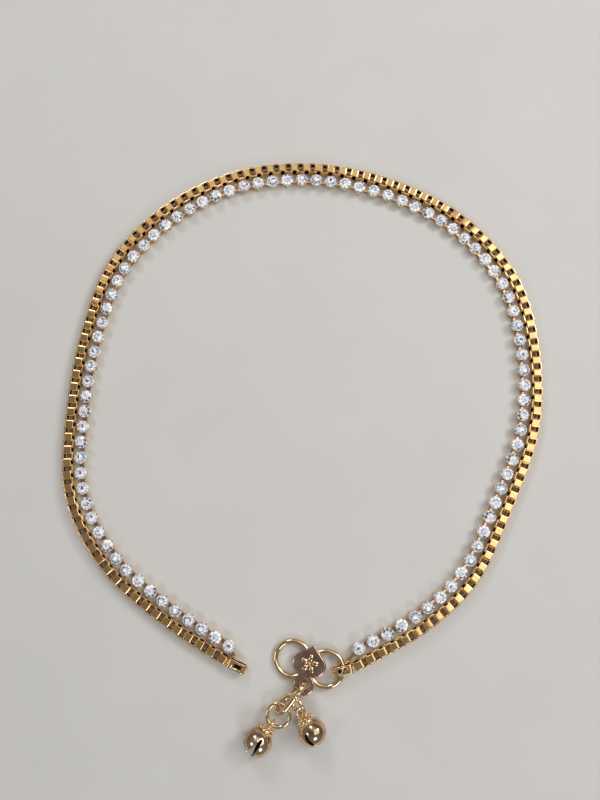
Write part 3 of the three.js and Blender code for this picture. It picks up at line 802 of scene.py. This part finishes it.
def facet_material(name, colors, metallic, transmission):
    """Cut glass, or the bright foil behind it, with painted reflections facet by facet and a painted glint."""
    existing = bpy.data.materials.get(name)
    if existing:
        return existing
    material, tree, shader = new_material(name)
    group = tree.nodes.new("ShaderNodeGroup")
    group.node_tree = group_of("Facet Painted Reflections", facet_group)
    for label, color in zip(("Pale", "Cool", "Warm", "Dark"), colors):
        group.inputs[label].default_value = (*color, 1)
    tree.links.new(group.outputs["Color"], shader.inputs["Base Color"])
    tree.links.new(group.outputs["Roughness"], shader.inputs["Roughness"])
    # Painted glint: some facets glow through the emission
    tree.links.new(group.outputs["Painted Glint"], shader.inputs["Emission Color"])
    shader.inputs["Emission Strength"].default_value = PAINTED_GLINT_STRENGTH
    shader.inputs["Metallic"].default_value = metallic
    shader.inputs["Transmission Weight"].default_value = transmission
    shader.inputs["IOR"].default_value = GLASS_IOR
    return material


# Forms of the pieces


def link_mesh(length, across, width, thickness, corner):
    """One box link: a strip bent to a square ring round Z, its long edges rounded."""
    half_x, half_y = length / 2 - thickness / 2, across / 2 - thickness / 2
    line = []
    for quarter, (sx, sy) in enumerate(((1, 1), (-1, 1), (-1, -1), (1, -1))):
        center = Vector((sx * (half_x - corner), sy * (half_y - corner), 0))
        start, end = heading(90 * quarter), heading(90 * quarter + 90)
        turns = [90 * (quarter + i / LINK_CORNER_STEPS) for i in range(LINK_CORNER_STEPS + 1)]
        line.append(center + start * corner - end * SUPPORT)
        line += [center + heading(turn) * corner for turn in turns]
        line.append(center + end * corner - start * SUPPORT)
    shape = Shape().add(*sweep(line, strip_section(width, thickness, LINK_EDGE), closed=True))
    mesh = shape.mesh("link", crease=50, shift=Vector())
    # Painted shade on the link's inner faces
    mark_painted_shade(mesh, -UP, UP)
    return mesh


def faceted(name, points, faces):
    """A flat-shaded mesh with a number for each facet, spread evenly and the same on each run."""
    mesh = Shape().add(points, faces).mesh(name, crease=2, shift=Vector())
    for face in mesh.polygons:
        face.use_smooth = False
    values = mesh.attributes.new("facet", "FLOAT", "FACE")
    for i, item in enumerate(values.data):
        item.value = (i * FACET_STEP) % 1.0
    return mesh


def stone_mesh():
    """A round brilliant: table, star, kite and girdle facets above, pavilion facets below."""
    girdle, top = CUP_HEIGHT, CUP_HEIGHT + CROWN_HEIGHT
    table = ring_points(TABLE_RADIUS, top, 8, 0.5)
    stars = ring_points(STAR_SHARE * STONE_RADIUS, girdle + STAR_RISE * CROWN_HEIGHT, 8)
    rim = ring_points(STONE_RADIUS, girdle + GIRDLE_EDGE, 16)
    low = ring_points(STONE_RADIUS, girdle - GIRDLE_EDGE, 16)
    waist = ring_points(WAIST_SHARE * STONE_RADIUS, girdle - WAIST_DEPTH, 8)
    within = [p + TABLE_SHIFT for p in ring_points(TABLE_INNER_SHARE * TABLE_RADIUS, top, 8)]
    middle = [TABLE_SHIFT * 2 + UP * top, UP * (girdle - POINT_DEPTH)]
    points = table + stars + rim + low + waist + within + middle
    t, s, r, b, w, i, m, c = 0, 8, 16, 32, 48, 56, 64, 65
    faces = []
    for k in range(8):
        n = (k + 1) % 8
        here, mid, there = 2 * k, 2 * k + 1, (2 * k + 2) % 16
        faces += [(i + k, m, i + n), (t + k, i + k, i + n), (t + k, i + n, t + n)]
        faces.append((t + (k - 1) % 8, s + k, t + k))
        faces.append((t + k, s + k, r + mid, s + n))
        faces += [(s + k, r + here, r + mid), (s + n, r + mid, r + there)]
        faces += [(r + here, b + here, b + mid, r + mid), (r + mid, b + mid, b + there, r + there)]
        faces += [(b + here, w + k, b + mid), (b + mid, w + n, b + there)]
        faces += [(b + mid, w + k, w + n), (w + k, c, w + n)]
    return faceted("stone", points, faces)


def foil_mesh():
    """The bright faceted lining of a cup, just under its stone."""
    girdle = CUP_HEIGHT - FOIL_DROP
    rim = ring_points(STONE_RADIUS, girdle, 16)
    waist = ring_points(WAIST_SHARE * STONE_RADIUS, girdle - FOIL_WAIST_DEPTH, 8)
    point = UP * (girdle - FOIL_POINT_DEPTH)
    faces = []
    for k in range(8):
        n = (k + 1) % 8
        here, mid, there = 2 * k, 2 * k + 1, (2 * k + 2) % 16
        faces += [(here, mid, 16 + k), (mid, there, 16 + n), (mid, 16 + n, 16 + k), (16 + k, 16 + n, 24)]
    upper = rim + waist + [point]
    lower = [p - UP * FOIL_WALL for p in rim + waist] + [point - UP * FOIL_POINT_WALL]
    count = len(upper)
    under = [tuple(count + i for i in reversed(face)) for face in faces]
    walls = [(i, (i + 1) % 16, count + (i + 1) % 16, count + i) for i in range(16)]
    return faceted("foil", upper + lower, faces + under + walls)


def cup_wall():
    """Points and faces of a thin round cup whose rim rises to its four claws."""
    points = []
    for layer in (0, 1):
        for row in range(CUP_ROWS + 1):
            for i in range(CUP_COLUMNS):
                turn = i / CUP_COLUMNS
                from_middle = abs(4 * turn % 1 - 0.5) * 2
                dip = SCALLOP_DEPTH * min(max((SCALLOP_END - from_middle) / SCALLOP_RUN, 0), 1)
                height = row / CUP_ROWS * (CUP_HEIGHT + CUP_RIM - dip)
                flare = (CUP_RADIUS - CUP_FOOT) * (height / CUP_HEIGHT) ** CUP_FLARE
                radius = CUP_FOOT + flare - CUP_WALL * layer
                points.append(heading(360 * turn + 45) * radius + UP * height)
    outer = ring_faces(CUP_ROWS + 1, CUP_COLUMNS)
    ring = (CUP_ROWS + 1) * CUP_COLUMNS
    faces = outer + [tuple(ring + i for i in reversed(face)) for face in outer]
    top = CUP_ROWS * CUP_COLUMNS
    for i in range(CUP_COLUMNS):
        j = (i + 1) % CUP_COLUMNS
        faces += [(top + i, top + j, ring + top + j, ring + top + i), (j, i, ring + i, ring + j)]
    return points, faces


def claw(angle):
    """Points and faces of the claw at an angle in degrees, bent over the stone."""
    out, side = heading(angle), heading(angle + 90)
    points = []
    for away, up, half_width in CLAW_SECTIONS:
        for i in range(CLAW_SIDES):
            turn = 2 * math.pi * i / CLAW_SIDES
            reach = STONE_RADIUS + away + CLAW_DEPTH * math.cos(turn)
            height = CUP_HEIGHT + up + CLAW_RISE * math.cos(turn)
            points.append(out * reach + side * (half_width * math.sin(turn)) + UP * height)
    rows = len(CLAW_SECTIONS)
    return points, ring_faces(rows, CLAW_SIDES) + end_faces(rows, CLAW_SIDES)


def cup_mesh():
    """A thin cup with a floor and four claws."""
    shape = Shape().add(*cup_wall())
    low, high, radius = CUP_FLOOR_LOW, CUP_FLOOR_HIGH, CUP_FOOT - CUP_FLOOR_INSET
    shape.add(*lathe([(0, low), (radius, low), (radius, high), (0, high)], 20))
    for k in range(4):
        shape.add(*claw(90 * k + 45))
    return shape.mesh("cup", crease=40, shift=Vector())


def tip_ends():
    """Where each end tip starts and which way it points, from the ends of the box chain's line."""
    chain = offset_line(stone_line(), STRAND_OFFSET, LEFT_OVERRUN, RIGHT_OVERRUN, 0)
    ends = []
    for place, angle in ((chain[0], LEFT_TIP_HEADING), (chain[-1], RIGHT_TIP_HEADING)):
        ends.append((place + heading(angle) * TIP_GAP, heading(angle)))
    return ends


def tip_shape():
    """A strip folded to a flat loop along +X, all edges rounded."""
    leaf = TIP_SHEET / 2
    nose, corner = TIP_HEIGHT / 2 - leaf, TIP_CORNER - leaf
    low, high = TIP_CORNER, TIP_HEIGHT - TIP_CORNER
    line = []
    for x, z, radius, first, last, steps in (
        (TIP_LENGTH - TIP_HEIGHT / 2, TIP_HEIGHT / 2, nose, -90, 90, 14),
        (TIP_CORNER, high, corner, 90, 180, 5),
        (TIP_CORNER, low, corner, 180, 270, 5),
    ):
        for i in range(steps + 1):
            angle = math.radians(first + (last - first) * i / steps)
            line.append(Vector((x + radius * math.cos(angle), 0, z + radius * math.sin(angle))))
    section = strip_section(TIP_WIDTH, TIP_SHEET, TIP_EDGE)
    return Shape().add(*sweep(line, section, closed=True, first_up=Vector((0, 1, 0))))


def length_size(name, description, value):
    """A length that the panel shows, given in mm."""
    return FloatProperty(name=name, description=description, default=value * MM, unit="LENGTH", precision=5)


class AnkletChainSettings(bpy.types.PropertyGroup):
    """Sizes of the box chain's links"""

    pitch: length_size("Pitch", "From the middle of one link to the next", 1.11)
    strip_width: length_size("Strip Width", "Width of the strip that a link is bent from", 1.3)
    strip_thickness: length_size("Strip Thickness", "Thickness of that strip", 0.27)
    corner: length_size("Corner", "Bend radius at a link's corners", 0.26)
    unevenness: FloatProperty(
        name="Unevenness", description="How far a link strays from its even turn", default=0.015,
        unit="ROTATION",
    )


class AnkletStoneSettings(bpy.types.PropertyGroup):
    """Look of the stone string"""

    count: IntProperty(
        name="Stones", description="Stones from one end to the other", default=STONE_COUNT, min=2
    )
    unevenness: FloatProperty(
        name="Unevenness", description="How far a stone is tipped in its cup", default=0.05,
        unit="ROTATION",
    )
    transmission: FloatProperty(
        name="Transmission", description="How clear the stones are", default=0.3, min=0, max=1
    )


def light_power(name, description, value):
    """A light's power in watts."""
    return FloatProperty(name=name, description=description, default=value, min=0)


class AnkletStageSettings(bpy.types.PropertyGroup):
    """Camera, floor and lights"""

    camera_place: FloatVectorProperty(
        name="Camera Place", description="Where the camera stands", subtype="XYZ", unit="LENGTH", precision=5,
        default=(-0.735 * MM, -10.82 * MM, 125.68 * MM),
    )
    camera_tilt: FloatProperty(
        name="Camera Tilt", description="Turn of the camera from straight down", default=math.radians(8.3),
        unit="ROTATION",
    )
    lens: FloatProperty(name="Lens", description="Focal length on a 36 mm frame", default=32.4)
    key_power: light_power("Key Power", "Power of the large soft light in watts", 0.42)
    upper_power: light_power("Upper Power", "Power of the dim soft light above the far side in watts", 0.12)
    softbox_power: light_power("Softbox Power", "Power of each smaller softbox round the piece in watts", 0.22)
    sky: FloatProperty(name="Sky", description="Brightness of the even surrounding light", default=0.2, min=0)
    floor_color: FloatVectorProperty(
        name="Floor Colour", description="Colour of the plain floor", default=(0.78, 0.765, 0.74),
        subtype="COLOR",
    )


class ANKLET_OT_box_chain(bpy.types.Operator):
    """Lay the box chain's interlocking links along the outer line"""

    bl_idname = "anklet.box_chain"
    bl_label = "Box Chain"

    def execute(self, context):
        use = context.scene.anklet_chain
        pitch, thickness = use.pitch / MM, use.strip_thickness / MM
        length = pitch + 2 * thickness + LINK_PLAY
        left, right = LEFT_OVERRUN + LEFT_REACH, RIGHT_OVERRUN + RIGHT_REACH
        line = offset_line(stone_line(), STRAND_OFFSET, left, right, CHAIN_WIDTH / 2)
        line = trimmed(line, length / 2, length / 2)
        link = link_mesh(length, CHAIN_WIDTH - LINK_INSET, use.strip_width / MM, thickness, use.corner / MM)
        link.transform(Matrix.Rotation(math.pi / 2, 4, "X"))
        count = 2 * round(line_length(line) / pitch / 2) + 1
        mesh = repeated(
            "box_chain_links", line, link, Count=count, Turn=math.pi / 2, Unevenness=use.unevenness, Seed=4,
            Material=plated_metal("chain_plating"),
        )
        show("box_chain_links", mesh, "chain_gold", "box_chain")
        return {"FINISHED"}


class ANKLET_OT_stone_string(bpy.types.Operator):
    """Set the stones in their claw cups along the inner line and tie the last cups to the end tips"""

    bl_idname = "anklet.stone_string"
    bl_label = "Stone String"

    def execute(self, context):
        use = context.scene.anklet_stones
        line = stone_line()
        glass = facet_material("stone_facets", CRYSTAL_PAINTED_REFLECTIONS, 0.0, use.transmission)
        foil = facet_material("stone_foil", FOIL_PAINTED_REFLECTIONS, 1.0, 0.0)
        tipped = {"Count": use.count, "Turn": 0.0, "Unevenness": use.unevenness, "Seed": 7}
        stones = repeated("stones", line, stone_mesh(), Material=glass, **tipped)
        lining = repeated("foils", line, foil_mesh(), Material=foil, **tipped)
        show("stones", merged_meshes("stones", [stones, lining]), "crystal", "stone_chain")
        even = {"Turn": 0.0, "Unevenness": 0.0}
        claws, rods = plated_metal("claw_plating"), plated_metal("bar_plating")
        cups = repeated("cups", line, cup_mesh(), Count=use.count, Seed=2, Material=claws, **even)
        pitch = line_length(line) / (use.count - 1)
        between = trimmed(line, pitch / 2, pitch / 2)
        reach = Vector((BAR_REACH, 0, 0))
        rod = Shape().add(*bar(-reach, reach, BAR_WIDTH, BAR_HEIGHT, BAR_LIFT)).mesh("bar", shift=Vector())
        bars = repeated("bars", between, rod, Count=use.count - 1, Seed=3, Material=rods, **even)
        ties = Shape()
        for (start, direction), cup, side in zip(tip_ends(), (line[0], line[-1]), (-1, 1)):
            end = start + direction * BAR_WIDTH + direction.cross(UP) * side * (TIP_WIDTH / 2 + TIP_GAP)
            begin = cup + (end - cup).normalized() * TIE_START
            ties.add(*bar(begin, end, BAR_WIDTH, BAR_HEIGHT, TIE_LIFT))
            middle = Matrix.Translation(end + UP * (TIE_LIFT + BAR_HEIGHT / 2))
            ties.add(*ball(BEAD_RADIUS, 14), matrix=middle)
        ties = ties.mesh("ties")
        ties.materials.append(plated_metal("chain_plating"))
        show("claw_cups", merged_meshes("claw_cups", [cups, bars, ties]), "chain_gold", "stone_chain")
        return {"FINISHED"}


class ANKLET_OT_end_tips(bpy.types.Operator):
    """Fold the two end tips"""

    bl_idname = "anklet.end_tips"
    bl_label = "End Tips"

    def execute(self, context):
        for name, (start, direction) in zip(("end_tip_left", "end_tip_right"), tip_ends()):
            place = frame_at(start, direction, UP.cross(direction))
            strip = Shape().join(tip_shape(), place).mesh(name, crease=50)
            reach = Vector((TONGUE_REACH, 0, 0))
            tongue = bar(-reach, reach, TONGUE_WIDTH, TIP_HEIGHT - 2 * TIP_CORNER, TIP_CORNER)
            tongue = Shape().add(*tongue, matrix=place).mesh(name + " tongue", crease=50)
            mesh = merged_meshes(name, [with_window(name, strip, place), tongue])
            middle = UP * TIP_HEIGHT / 2 + SHIFT
            back, nose = start + direction * TIP_CORNER, start + direction * (TIP_LENGTH - TIP_HEIGHT / 2)
            # Painted shade on the faces inside the folded tip
            mark_painted_shade(mesh, (back + middle) * MM, (nose + middle) * MM)
            mesh.materials.clear()
            mesh.materials.append(plated_metal("tip_plating"))
            show(name + "_strip", mesh, "chain_gold", name)
        return {"FINISHED"}


def with_window(name, mesh, matrix):
    """The strip with its window cut through the upper leaf."""
    end, y = TIP_LENGTH - TIP_HEIGHT / 2, WINDOW_WIDTH / 2
    start = end - WINDOW_LENGTH
    corners = [(start, -y), (end, -y), (end, y), (start, y)]
    low, high = TIP_HEIGHT - TIP_SHEET - WINDOW_BELOW, TIP_HEIGHT + WINDOW_ABOVE
    points = [(a, b, low) for a, b in corners] + [(a, b, high) for a, b in corners]
    faces = ring_faces(2, 4) + end_faces(2, 4)
    return cut(name, mesh, Shape().add(points, faces, matrix=matrix).mesh("window"))


def cut(name, mesh, tool):
    """A mesh without the volume of another one."""
    whole = bpy.data.objects.new(name + " whole", mesh)
    knife = bpy.data.objects.new(name + " knife", tool)
    for thing in (whole, knife):
        bpy.context.scene.collection.objects.link(thing)
    modifier = whole.modifiers.new("Cut", "BOOLEAN")
    modifier.operation = "DIFFERENCE"
    modifier.solver = "EXACT"
    modifier.object = knife
    bpy.context.view_layer.update()
    made = bpy.data.meshes.new_from_object(whole.evaluated_get(bpy.context.evaluated_depsgraph_get()))
    made.name = name
    whole.modifiers.clear()
    for thing in (whole, knife):
        bpy.data.objects.remove(thing)
    return made


def scene_matrix(place):
    """A frame of the pieces in mm, as a matrix for a mesh in metres."""
    return Matrix.Translation((place.translation + SHIFT) * MM) @ place.to_3x3().to_4x4()


def heart_outline():
    """Outline of the plate from its point round the left lobe, the eye tab and the right lobe, in mm."""
    tab = EYE_HOLE / 2 + EYE_RIM

    def left_of(pair):
        """Place on the left half, from shares of the half width and of the height."""
        return Vector((-pair[0] * PLATE_WIDTH / 2, pair[1] * EYE_TO_POINT, 0))

    point, bend, shoulder = left_of((0, 1)), left_of(SHOULDER_BEND), left_of(SHOULDER)
    left = [point]
    left += bezier(point, point.lerp(bend, 2 / 3), shoulder.lerp(bend, 2 / 3), shoulder, 8)
    left += bezier(shoulder, left_of(LOBE_BULGE), left_of(TAIL_BULGE), heading(180 - WAIST_ANGLE) * tab, 24)
    steps, turn = 40, 180 + 2 * WAIST_ANGLE
    round_tab = [heading(180 - WAIST_ANGLE + turn * i / steps) * tab for i in range(1, steps)]
    right = [Vector((-p.x, p.y, 0)) for p in reversed(left)]
    return left + round_tab + right[:-1]


def plate_mesh():
    """The heart plate with its eye and rounded rims, from filled curves, in the clasp's own frame."""
    data = bpy.data.curves.new("plate", "CURVE")
    data.dimensions = "2D"
    data.fill_mode = "BOTH"
    for line in (heart_outline(), ring_points(EYE_HOLE / 2, 0, 32)):
        spline = data.splines.new("POLY")
        spline.points.add(len(line) - 1)
        for target, place in zip(spline.points, line):
            target.co = (place.x * MM, (place.y - EYE_TO_POINT / 2) * MM, 0, 1)
        spline.use_cyclic_u = True
    data.bevel_depth = PLATE_RIM * MM
    data.bevel_resolution = 4
    data.offset = -PLATE_RIM * MM
    data.extrude = (PLATE_THICKNESS / 2 - PLATE_RIM) * MM
    holder = bpy.data.objects.new("plate", data)
    bpy.context.scene.collection.objects.link(holder)
    bpy.context.view_layer.update()
    mesh = bpy.data.meshes.new_from_object(holder.evaluated_get(bpy.context.evaluated_depsgraph_get()))
    bpy.data.objects.remove(holder)
    work = bmesh.new()
    work.from_mesh(mesh)
    bmesh.ops.remove_doubles(work, verts=work.verts, dist=1e-7)
    bmesh.ops.recalc_face_normals(work, faces=work.faces)
    for face in work.faces:
        face.smooth = True
    work.to_mesh(mesh)
    work.free()
    mesh.set_sharp_from_angle(angle=math.radians(32))
    lift = HOOK_WIRE / 2 - PLATE_SINK + PLATE_THICKNESS / 2
    mesh.transform(scene_matrix(clasp_frame()) @ Matrix.Translation((0, 0, lift * MM)))
    return mesh


def blossom_shape():
    """Five domed petals round a small boss, raised on the plate."""
    shape = Shape()
    middle = Matrix.Translation((0, BLOSSOM_SHIFT, HOOK_WIRE / 2 - PLATE_SINK + PLATE_THICKNESS))
    petal = Matrix.Translation((PETAL_REACH, 0, 0)) @ Matrix.Diagonal((*PETAL_SIZE, 1))
    for i in range(PETAL_COUNT):
        turn = Matrix.Rotation(2 * math.pi * i / PETAL_COUNT + math.pi / 2, 4, "Z")
        shape.add(*ball(1.0, 18), matrix=middle @ turn @ petal)
    return shape.add(*ball(BOSS_RADIUS, 16, BOSS_SQUASH), matrix=middle)


class ANKLET_OT_heart_clasp(bpy.types.Operator):
    """Bend the S-shaped hook and solder the heart plate to it"""

    bl_idname = "anklet.heart_clasp"
    bl_label = "Heart Clasp"

    def execute(self, context):
        wire = Shape().add(*sweep(hook_line(), round_section(HOOK_WIRE / 2, 20)), matrix=clasp_frame())
        wire.join(blossom_shape(), clasp_frame())
        mesh = wire.mesh("hook", crease=60)
        mesh.materials.append(plated_metal("clasp_plating"))
        plate = plate_mesh()
        plate.materials.clear()
        plate.materials.append(plated_metal("plate_plating"))
        show("hook_and_plate", merged_meshes("hook_and_plate", [mesh, plate]), "clasp_gold", "heart_clasp")
        return {"FINISHED"}


class ANKLET_OT_rings(bpy.types.Operator):
    """Bend the open jump rings"""

    bl_idname = "anklet.rings"
    bl_label = "Jump Rings"

    def execute(self, context):
        length, width = DROP_RING_LENGTH - DROP_RING_WIRE, DROP_RING_WIDTH - DROP_RING_WIRE
        drop = ring_line(length, width, DROP_RING_LEAN, RING_CUT, 90)
        small = BELL_RING_DIAMETER - BELL_RING_WIRE
        round_line = ring_line(small, small, (0, 0), RING_CUT, 72)
        for name, line, wire, place in (
            ("drop_ring", drop, DROP_RING_WIRE, drop_ring_frame()),
            ("bell_ring_left", round_line, BELL_RING_WIRE, left_ring_frame()),
            ("bell_ring_right", round_line, BELL_RING_WIRE, right_ring_frame()),
        ):
            section = round_section(wire / 2 - WIRE_INSET, 16)
            mesh = Shape().add(*sweep(line, section), matrix=place).mesh(name + "_wire", crease=60)
            mesh.materials.append(plated_metal("clasp_plating"))
            show(name + "_wire", mesh, "clasp_gold", name)
        return {"FINISHED"}


def bell_shell():
    """Outer surface of the bell's two cheeks, joined above the slit."""
    radius = BELL_RADIUS - BELL_INSET
    bottom = math.acos(SLIT_MOUTH * MOUTH_SHARE / 2 / radius)
    rise = bottom + math.radians(BELL_WALL_END)
    points, faces = [], []
    for side in (1, -1):
        for row in range(BELL_ROWS + 1):
            latitude = -bottom + rise * row / BELL_ROWS
            r, z = radius * math.cos(latitude), radius * math.sin(latitude)
            share = min(max((z + radius) / (SLIT_REACH + radius), 0), 1)
            half = (SLIT_MOUTH + (SLIT_END - SLIT_MOUTH) * share) / 2 if z < SLIT_REACH else 0.0
            gap = math.asin(min(half / r, 0.999))
            if z > SLIT_REACH - SLIT_ROUND:
                gap *= math.sqrt(max(0.0, (SLIT_REACH - z) / SLIT_ROUND))
            for column in range(BELL_COLUMNS + 1):
                turn = (column / BELL_COLUMNS - 0.5) * (math.pi - 2 * gap)
                points.append((side * r * math.cos(turn), r * math.sin(turn), z))
    width = BELL_COLUMNS + 1
    for cheek in (0, 1):
        for row in range(BELL_ROWS):
            start = (cheek * (BELL_ROWS + 1) + row) * width
            for a in range(start, start + BELL_COLUMNS):
                face = (a, a + 1, a + width + 1, a + width)
                faces.append(tuple(reversed(face)) if cheek else face)
    return points, faces


def bell_body(name, slit_turn, place):
    """A bell's wall thickened inward, its inner side coloured dark as painted shade."""
    mesh = Shape().add(*bell_shell()).mesh(name, merge=0.02, crease=80, shift=Vector())
    for material in (plated_metal("bell_plating"), plated_metal("bell_inside_painted_shade")):
        mesh.materials.append(material)
    holder = bpy.data.objects.new(name, mesh)
    bpy.context.scene.collection.objects.link(holder)
    wall = holder.modifiers.new("Wall", "SOLIDIFY")
    wall.thickness = BELL_WALL * MM
    wall.offset = -1
    wall.material_offset = 1
    lip = holder.modifiers.new("Lip", "BEVEL")
    lip.width = BELL_LIP * MM
    lip.segments = 2
    lip.limit_method = "ANGLE"
    lip.angle_limit = math.radians(60)
    bpy.context.view_layer.update()
    made = bpy.data.meshes.new_from_object(holder.evaluated_get(bpy.context.evaluated_depsgraph_get()))
    holder.modifiers.clear()
    bpy.data.objects.remove(holder)
    spread = Matrix.Rotation(math.radians(slit_turn), 4, "Z") @ Matrix.Diagonal((BELL_SPREAD, 1, 1, 1))
    made.transform(scene_matrix(place) @ spread)
    for face in made.polygons:
        face.use_smooth = True
    made.set_sharp_from_angle(angle=math.radians(50))
    return made


def bell_trim(place):
    """Domed cap with rows of granules, and the wire eye."""
    shape = Shape()
    base = CAP_TOP - CAP_HEIGHT
    profile = [(across * CAP_RADIUS, base - down) for across, down in CAP_FOOT]
    profile += [(across * CAP_RADIUS, base + up * CAP_HEIGHT) for across, up in CAP_DOME]
    shape.add(*lathe(profile, 36))
    for count, across, up, size in GRANULE_ROWS:
        for i in range(count):
            spot = heading(360 * (i + 0.5) / count) * (across * CAP_RADIUS) + UP * (base + up * CAP_HEIGHT)
            shape.add(*ball(size, 10), matrix=Matrix.Translation(spot))
    turned = Matrix.Translation((0, 0, BELL_EYE_HEIGHT)) @ Matrix.Rotation(math.pi / 2, 4, "Y")
    shape.add(*torus(BELL_EYE_RADIUS, BELL_EYE_WIRE, 36, 12), matrix=turned)
    return Shape().join(shape, place)


class ANKLET_OT_bells(bpy.types.Operator):
    """Raise the two slit bells with their granulated caps"""

    bl_idname = "anklet.bells"
    bl_label = "Bells"

    def execute(self, context):
        for name, place, slit in zip(("bell_left", "bell_right"), bell_frames(), (0, RIGHT_SLIT_TURN)):
            body = bell_body(name + " body", slit, place)
            trim = bell_trim(place).mesh(name + " trim", crease=60)
            trim.materials.append(plated_metal("clasp_plating"))
            show(name + "_shell", merged_meshes(name + "_shell", [body, trim]), "clasp_gold", name)
        return {"FINISHED"}


def soft_light(name, place, size, color, power):
    """An area light that looks at the middle of the floor."""
    data = bpy.data.lights.new(name, "AREA")
    data.shape = "RECTANGLE"
    data.size, data.size_y = size
    data.energy = power
    data.color = color
    light = bpy.data.objects.new(name, data)
    bpy.context.scene.collection.objects.link(light)
    light.location = place
    light.rotation_euler = (-Vector(place)).to_track_quat("-Z", "Y").to_euler()
    return light


def stage_floor(color):
    """The plain floor with a fine grain."""
    mesh = bpy.data.meshes.new("floor")
    corners = [(x * FLOOR_REACH, y * FLOOR_REACH, 0) for x, y in ((-1, -1), (1, -1), (1, 1), (-1, 1))]
    mesh.from_pydata(corners, [], [(0, 1, 2, 3)])
    floor = bpy.data.objects.new("floor", mesh)
    bpy.context.scene.collection.objects.link(floor)
    material, tree, shader = new_material("floor")
    place = tree.nodes.new("ShaderNodeTexCoord").outputs["Object"]
    grain = map_range(tree, noise_node(tree, place, FLOOR_GRAIN_SCALE, 3), 0.3, 0.7, 0, 1)
    darker = tuple(c * FLOOR_GRAIN_SHADE for c in color)
    tree.links.new(mix_colors(tree, grain, (*color, 1), (*darker, 1)), shader.inputs["Base Color"])
    shader.inputs["Roughness"].default_value = 0.8
    mesh.materials.append(material)
    return floor


class ANKLET_OT_stage(bpy.types.Operator):
    """Set the floor, the soft lights and the camera"""

    bl_idname = "anklet.stage"
    bl_label = "Stage"

    def execute(self, context):
        use = context.scene.anklet_stage
        scene = context.scene
        floor = stage_floor(use.floor_color)
        soft_light("key", *KEY_LIGHT, use.key_power)
        soft_light("upper", *UPPER_LIGHT, use.upper_power)
        for i, (around, up, share) in enumerate(SOFTBOXES):
            direction = heading(around) * math.cos(math.radians(up)) + UP * math.sin(math.radians(up))
            place = direction * SOFTBOX_DISTANCE
            soft_light(f"softbox_{i}", place, SOFTBOX_SIZE, SOFTBOX_COLOR, use.softbox_power * share)
        world = bpy.data.worlds.new("studio")
        world.use_nodes = True
        back = world.node_tree.nodes["Background"]
        back.inputs["Color"].default_value = (*SKY_COLOR, 1)
        back.inputs["Strength"].default_value = use.sky
        scene.world = world
        scene.view_settings.view_transform = "Standard"
        lens = bpy.data.cameras.new("camera")
        lens.sensor_width = 36
        lens.lens = use.lens
        lens.clip_start, lens.clip_end = 0.005, 10
        camera = bpy.data.objects.new("camera", lens)
        camera.location = use.camera_place
        camera.rotation_euler = (use.camera_tilt, 0, 0)
        scene.collection.objects.link(camera)
        scene.camera = camera
        return {"FINISHED"}


class ANKLET_PT_panel(bpy.types.Panel):
    """Sidebar panel with the sizes and the makers"""

    bl_idname = "ANKLET_PT_panel"
    bl_label = "Anklet"
    bl_space_type = "VIEW_3D"
    bl_region_type = "UI"
    bl_category = "Anklet"

    def draw(self, context):
        for settings in (context.scene.anklet_chain, context.scene.anklet_stones, context.scene.anklet_stage):
            box = self.layout.box()
            for name in settings.bl_rna.properties.keys():
                if name not in ("rna_type", "name"):
                    box.prop(settings, name)
        for operator in OPERATORS:
            self.layout.operator(operator.bl_idname)


OPERATORS = (
    ANKLET_OT_stage,
    ANKLET_OT_box_chain,
    ANKLET_OT_stone_string,
    ANKLET_OT_end_tips,
    ANKLET_OT_heart_clasp,
    ANKLET_OT_rings,
    ANKLET_OT_bells,
)
CLASSES = (AnkletChainSettings, AnkletStoneSettings, AnkletStageSettings, *OPERATORS, ANKLET_PT_panel)


def register():
    """Registers the settings, the operators and the panel."""
    for cls in CLASSES:
        bpy.utils.register_class(cls)
    bpy.types.Scene.anklet_chain = PointerProperty(type=AnkletChainSettings)
    bpy.types.Scene.anklet_stones = PointerProperty(type=AnkletStoneSettings)
    bpy.types.Scene.anklet_stage = PointerProperty(type=AnkletStageSettings)


def unregister():
    """Takes them away again."""
    for name in ("anklet_chain", "anklet_stones", "anklet_stage"):
        delattr(bpy.types.Scene, name)
    for cls in reversed(CLASSES):
        bpy.utils.unregister_class(cls)


def main():
    """Builds the whole scene with the operators."""
    register()
    for operator in OPERATORS:
        group, name = operator.bl_idname.split(".")
        getattr(getattr(bpy.ops, group), name)()


if __name__ == "__main__":
    main()
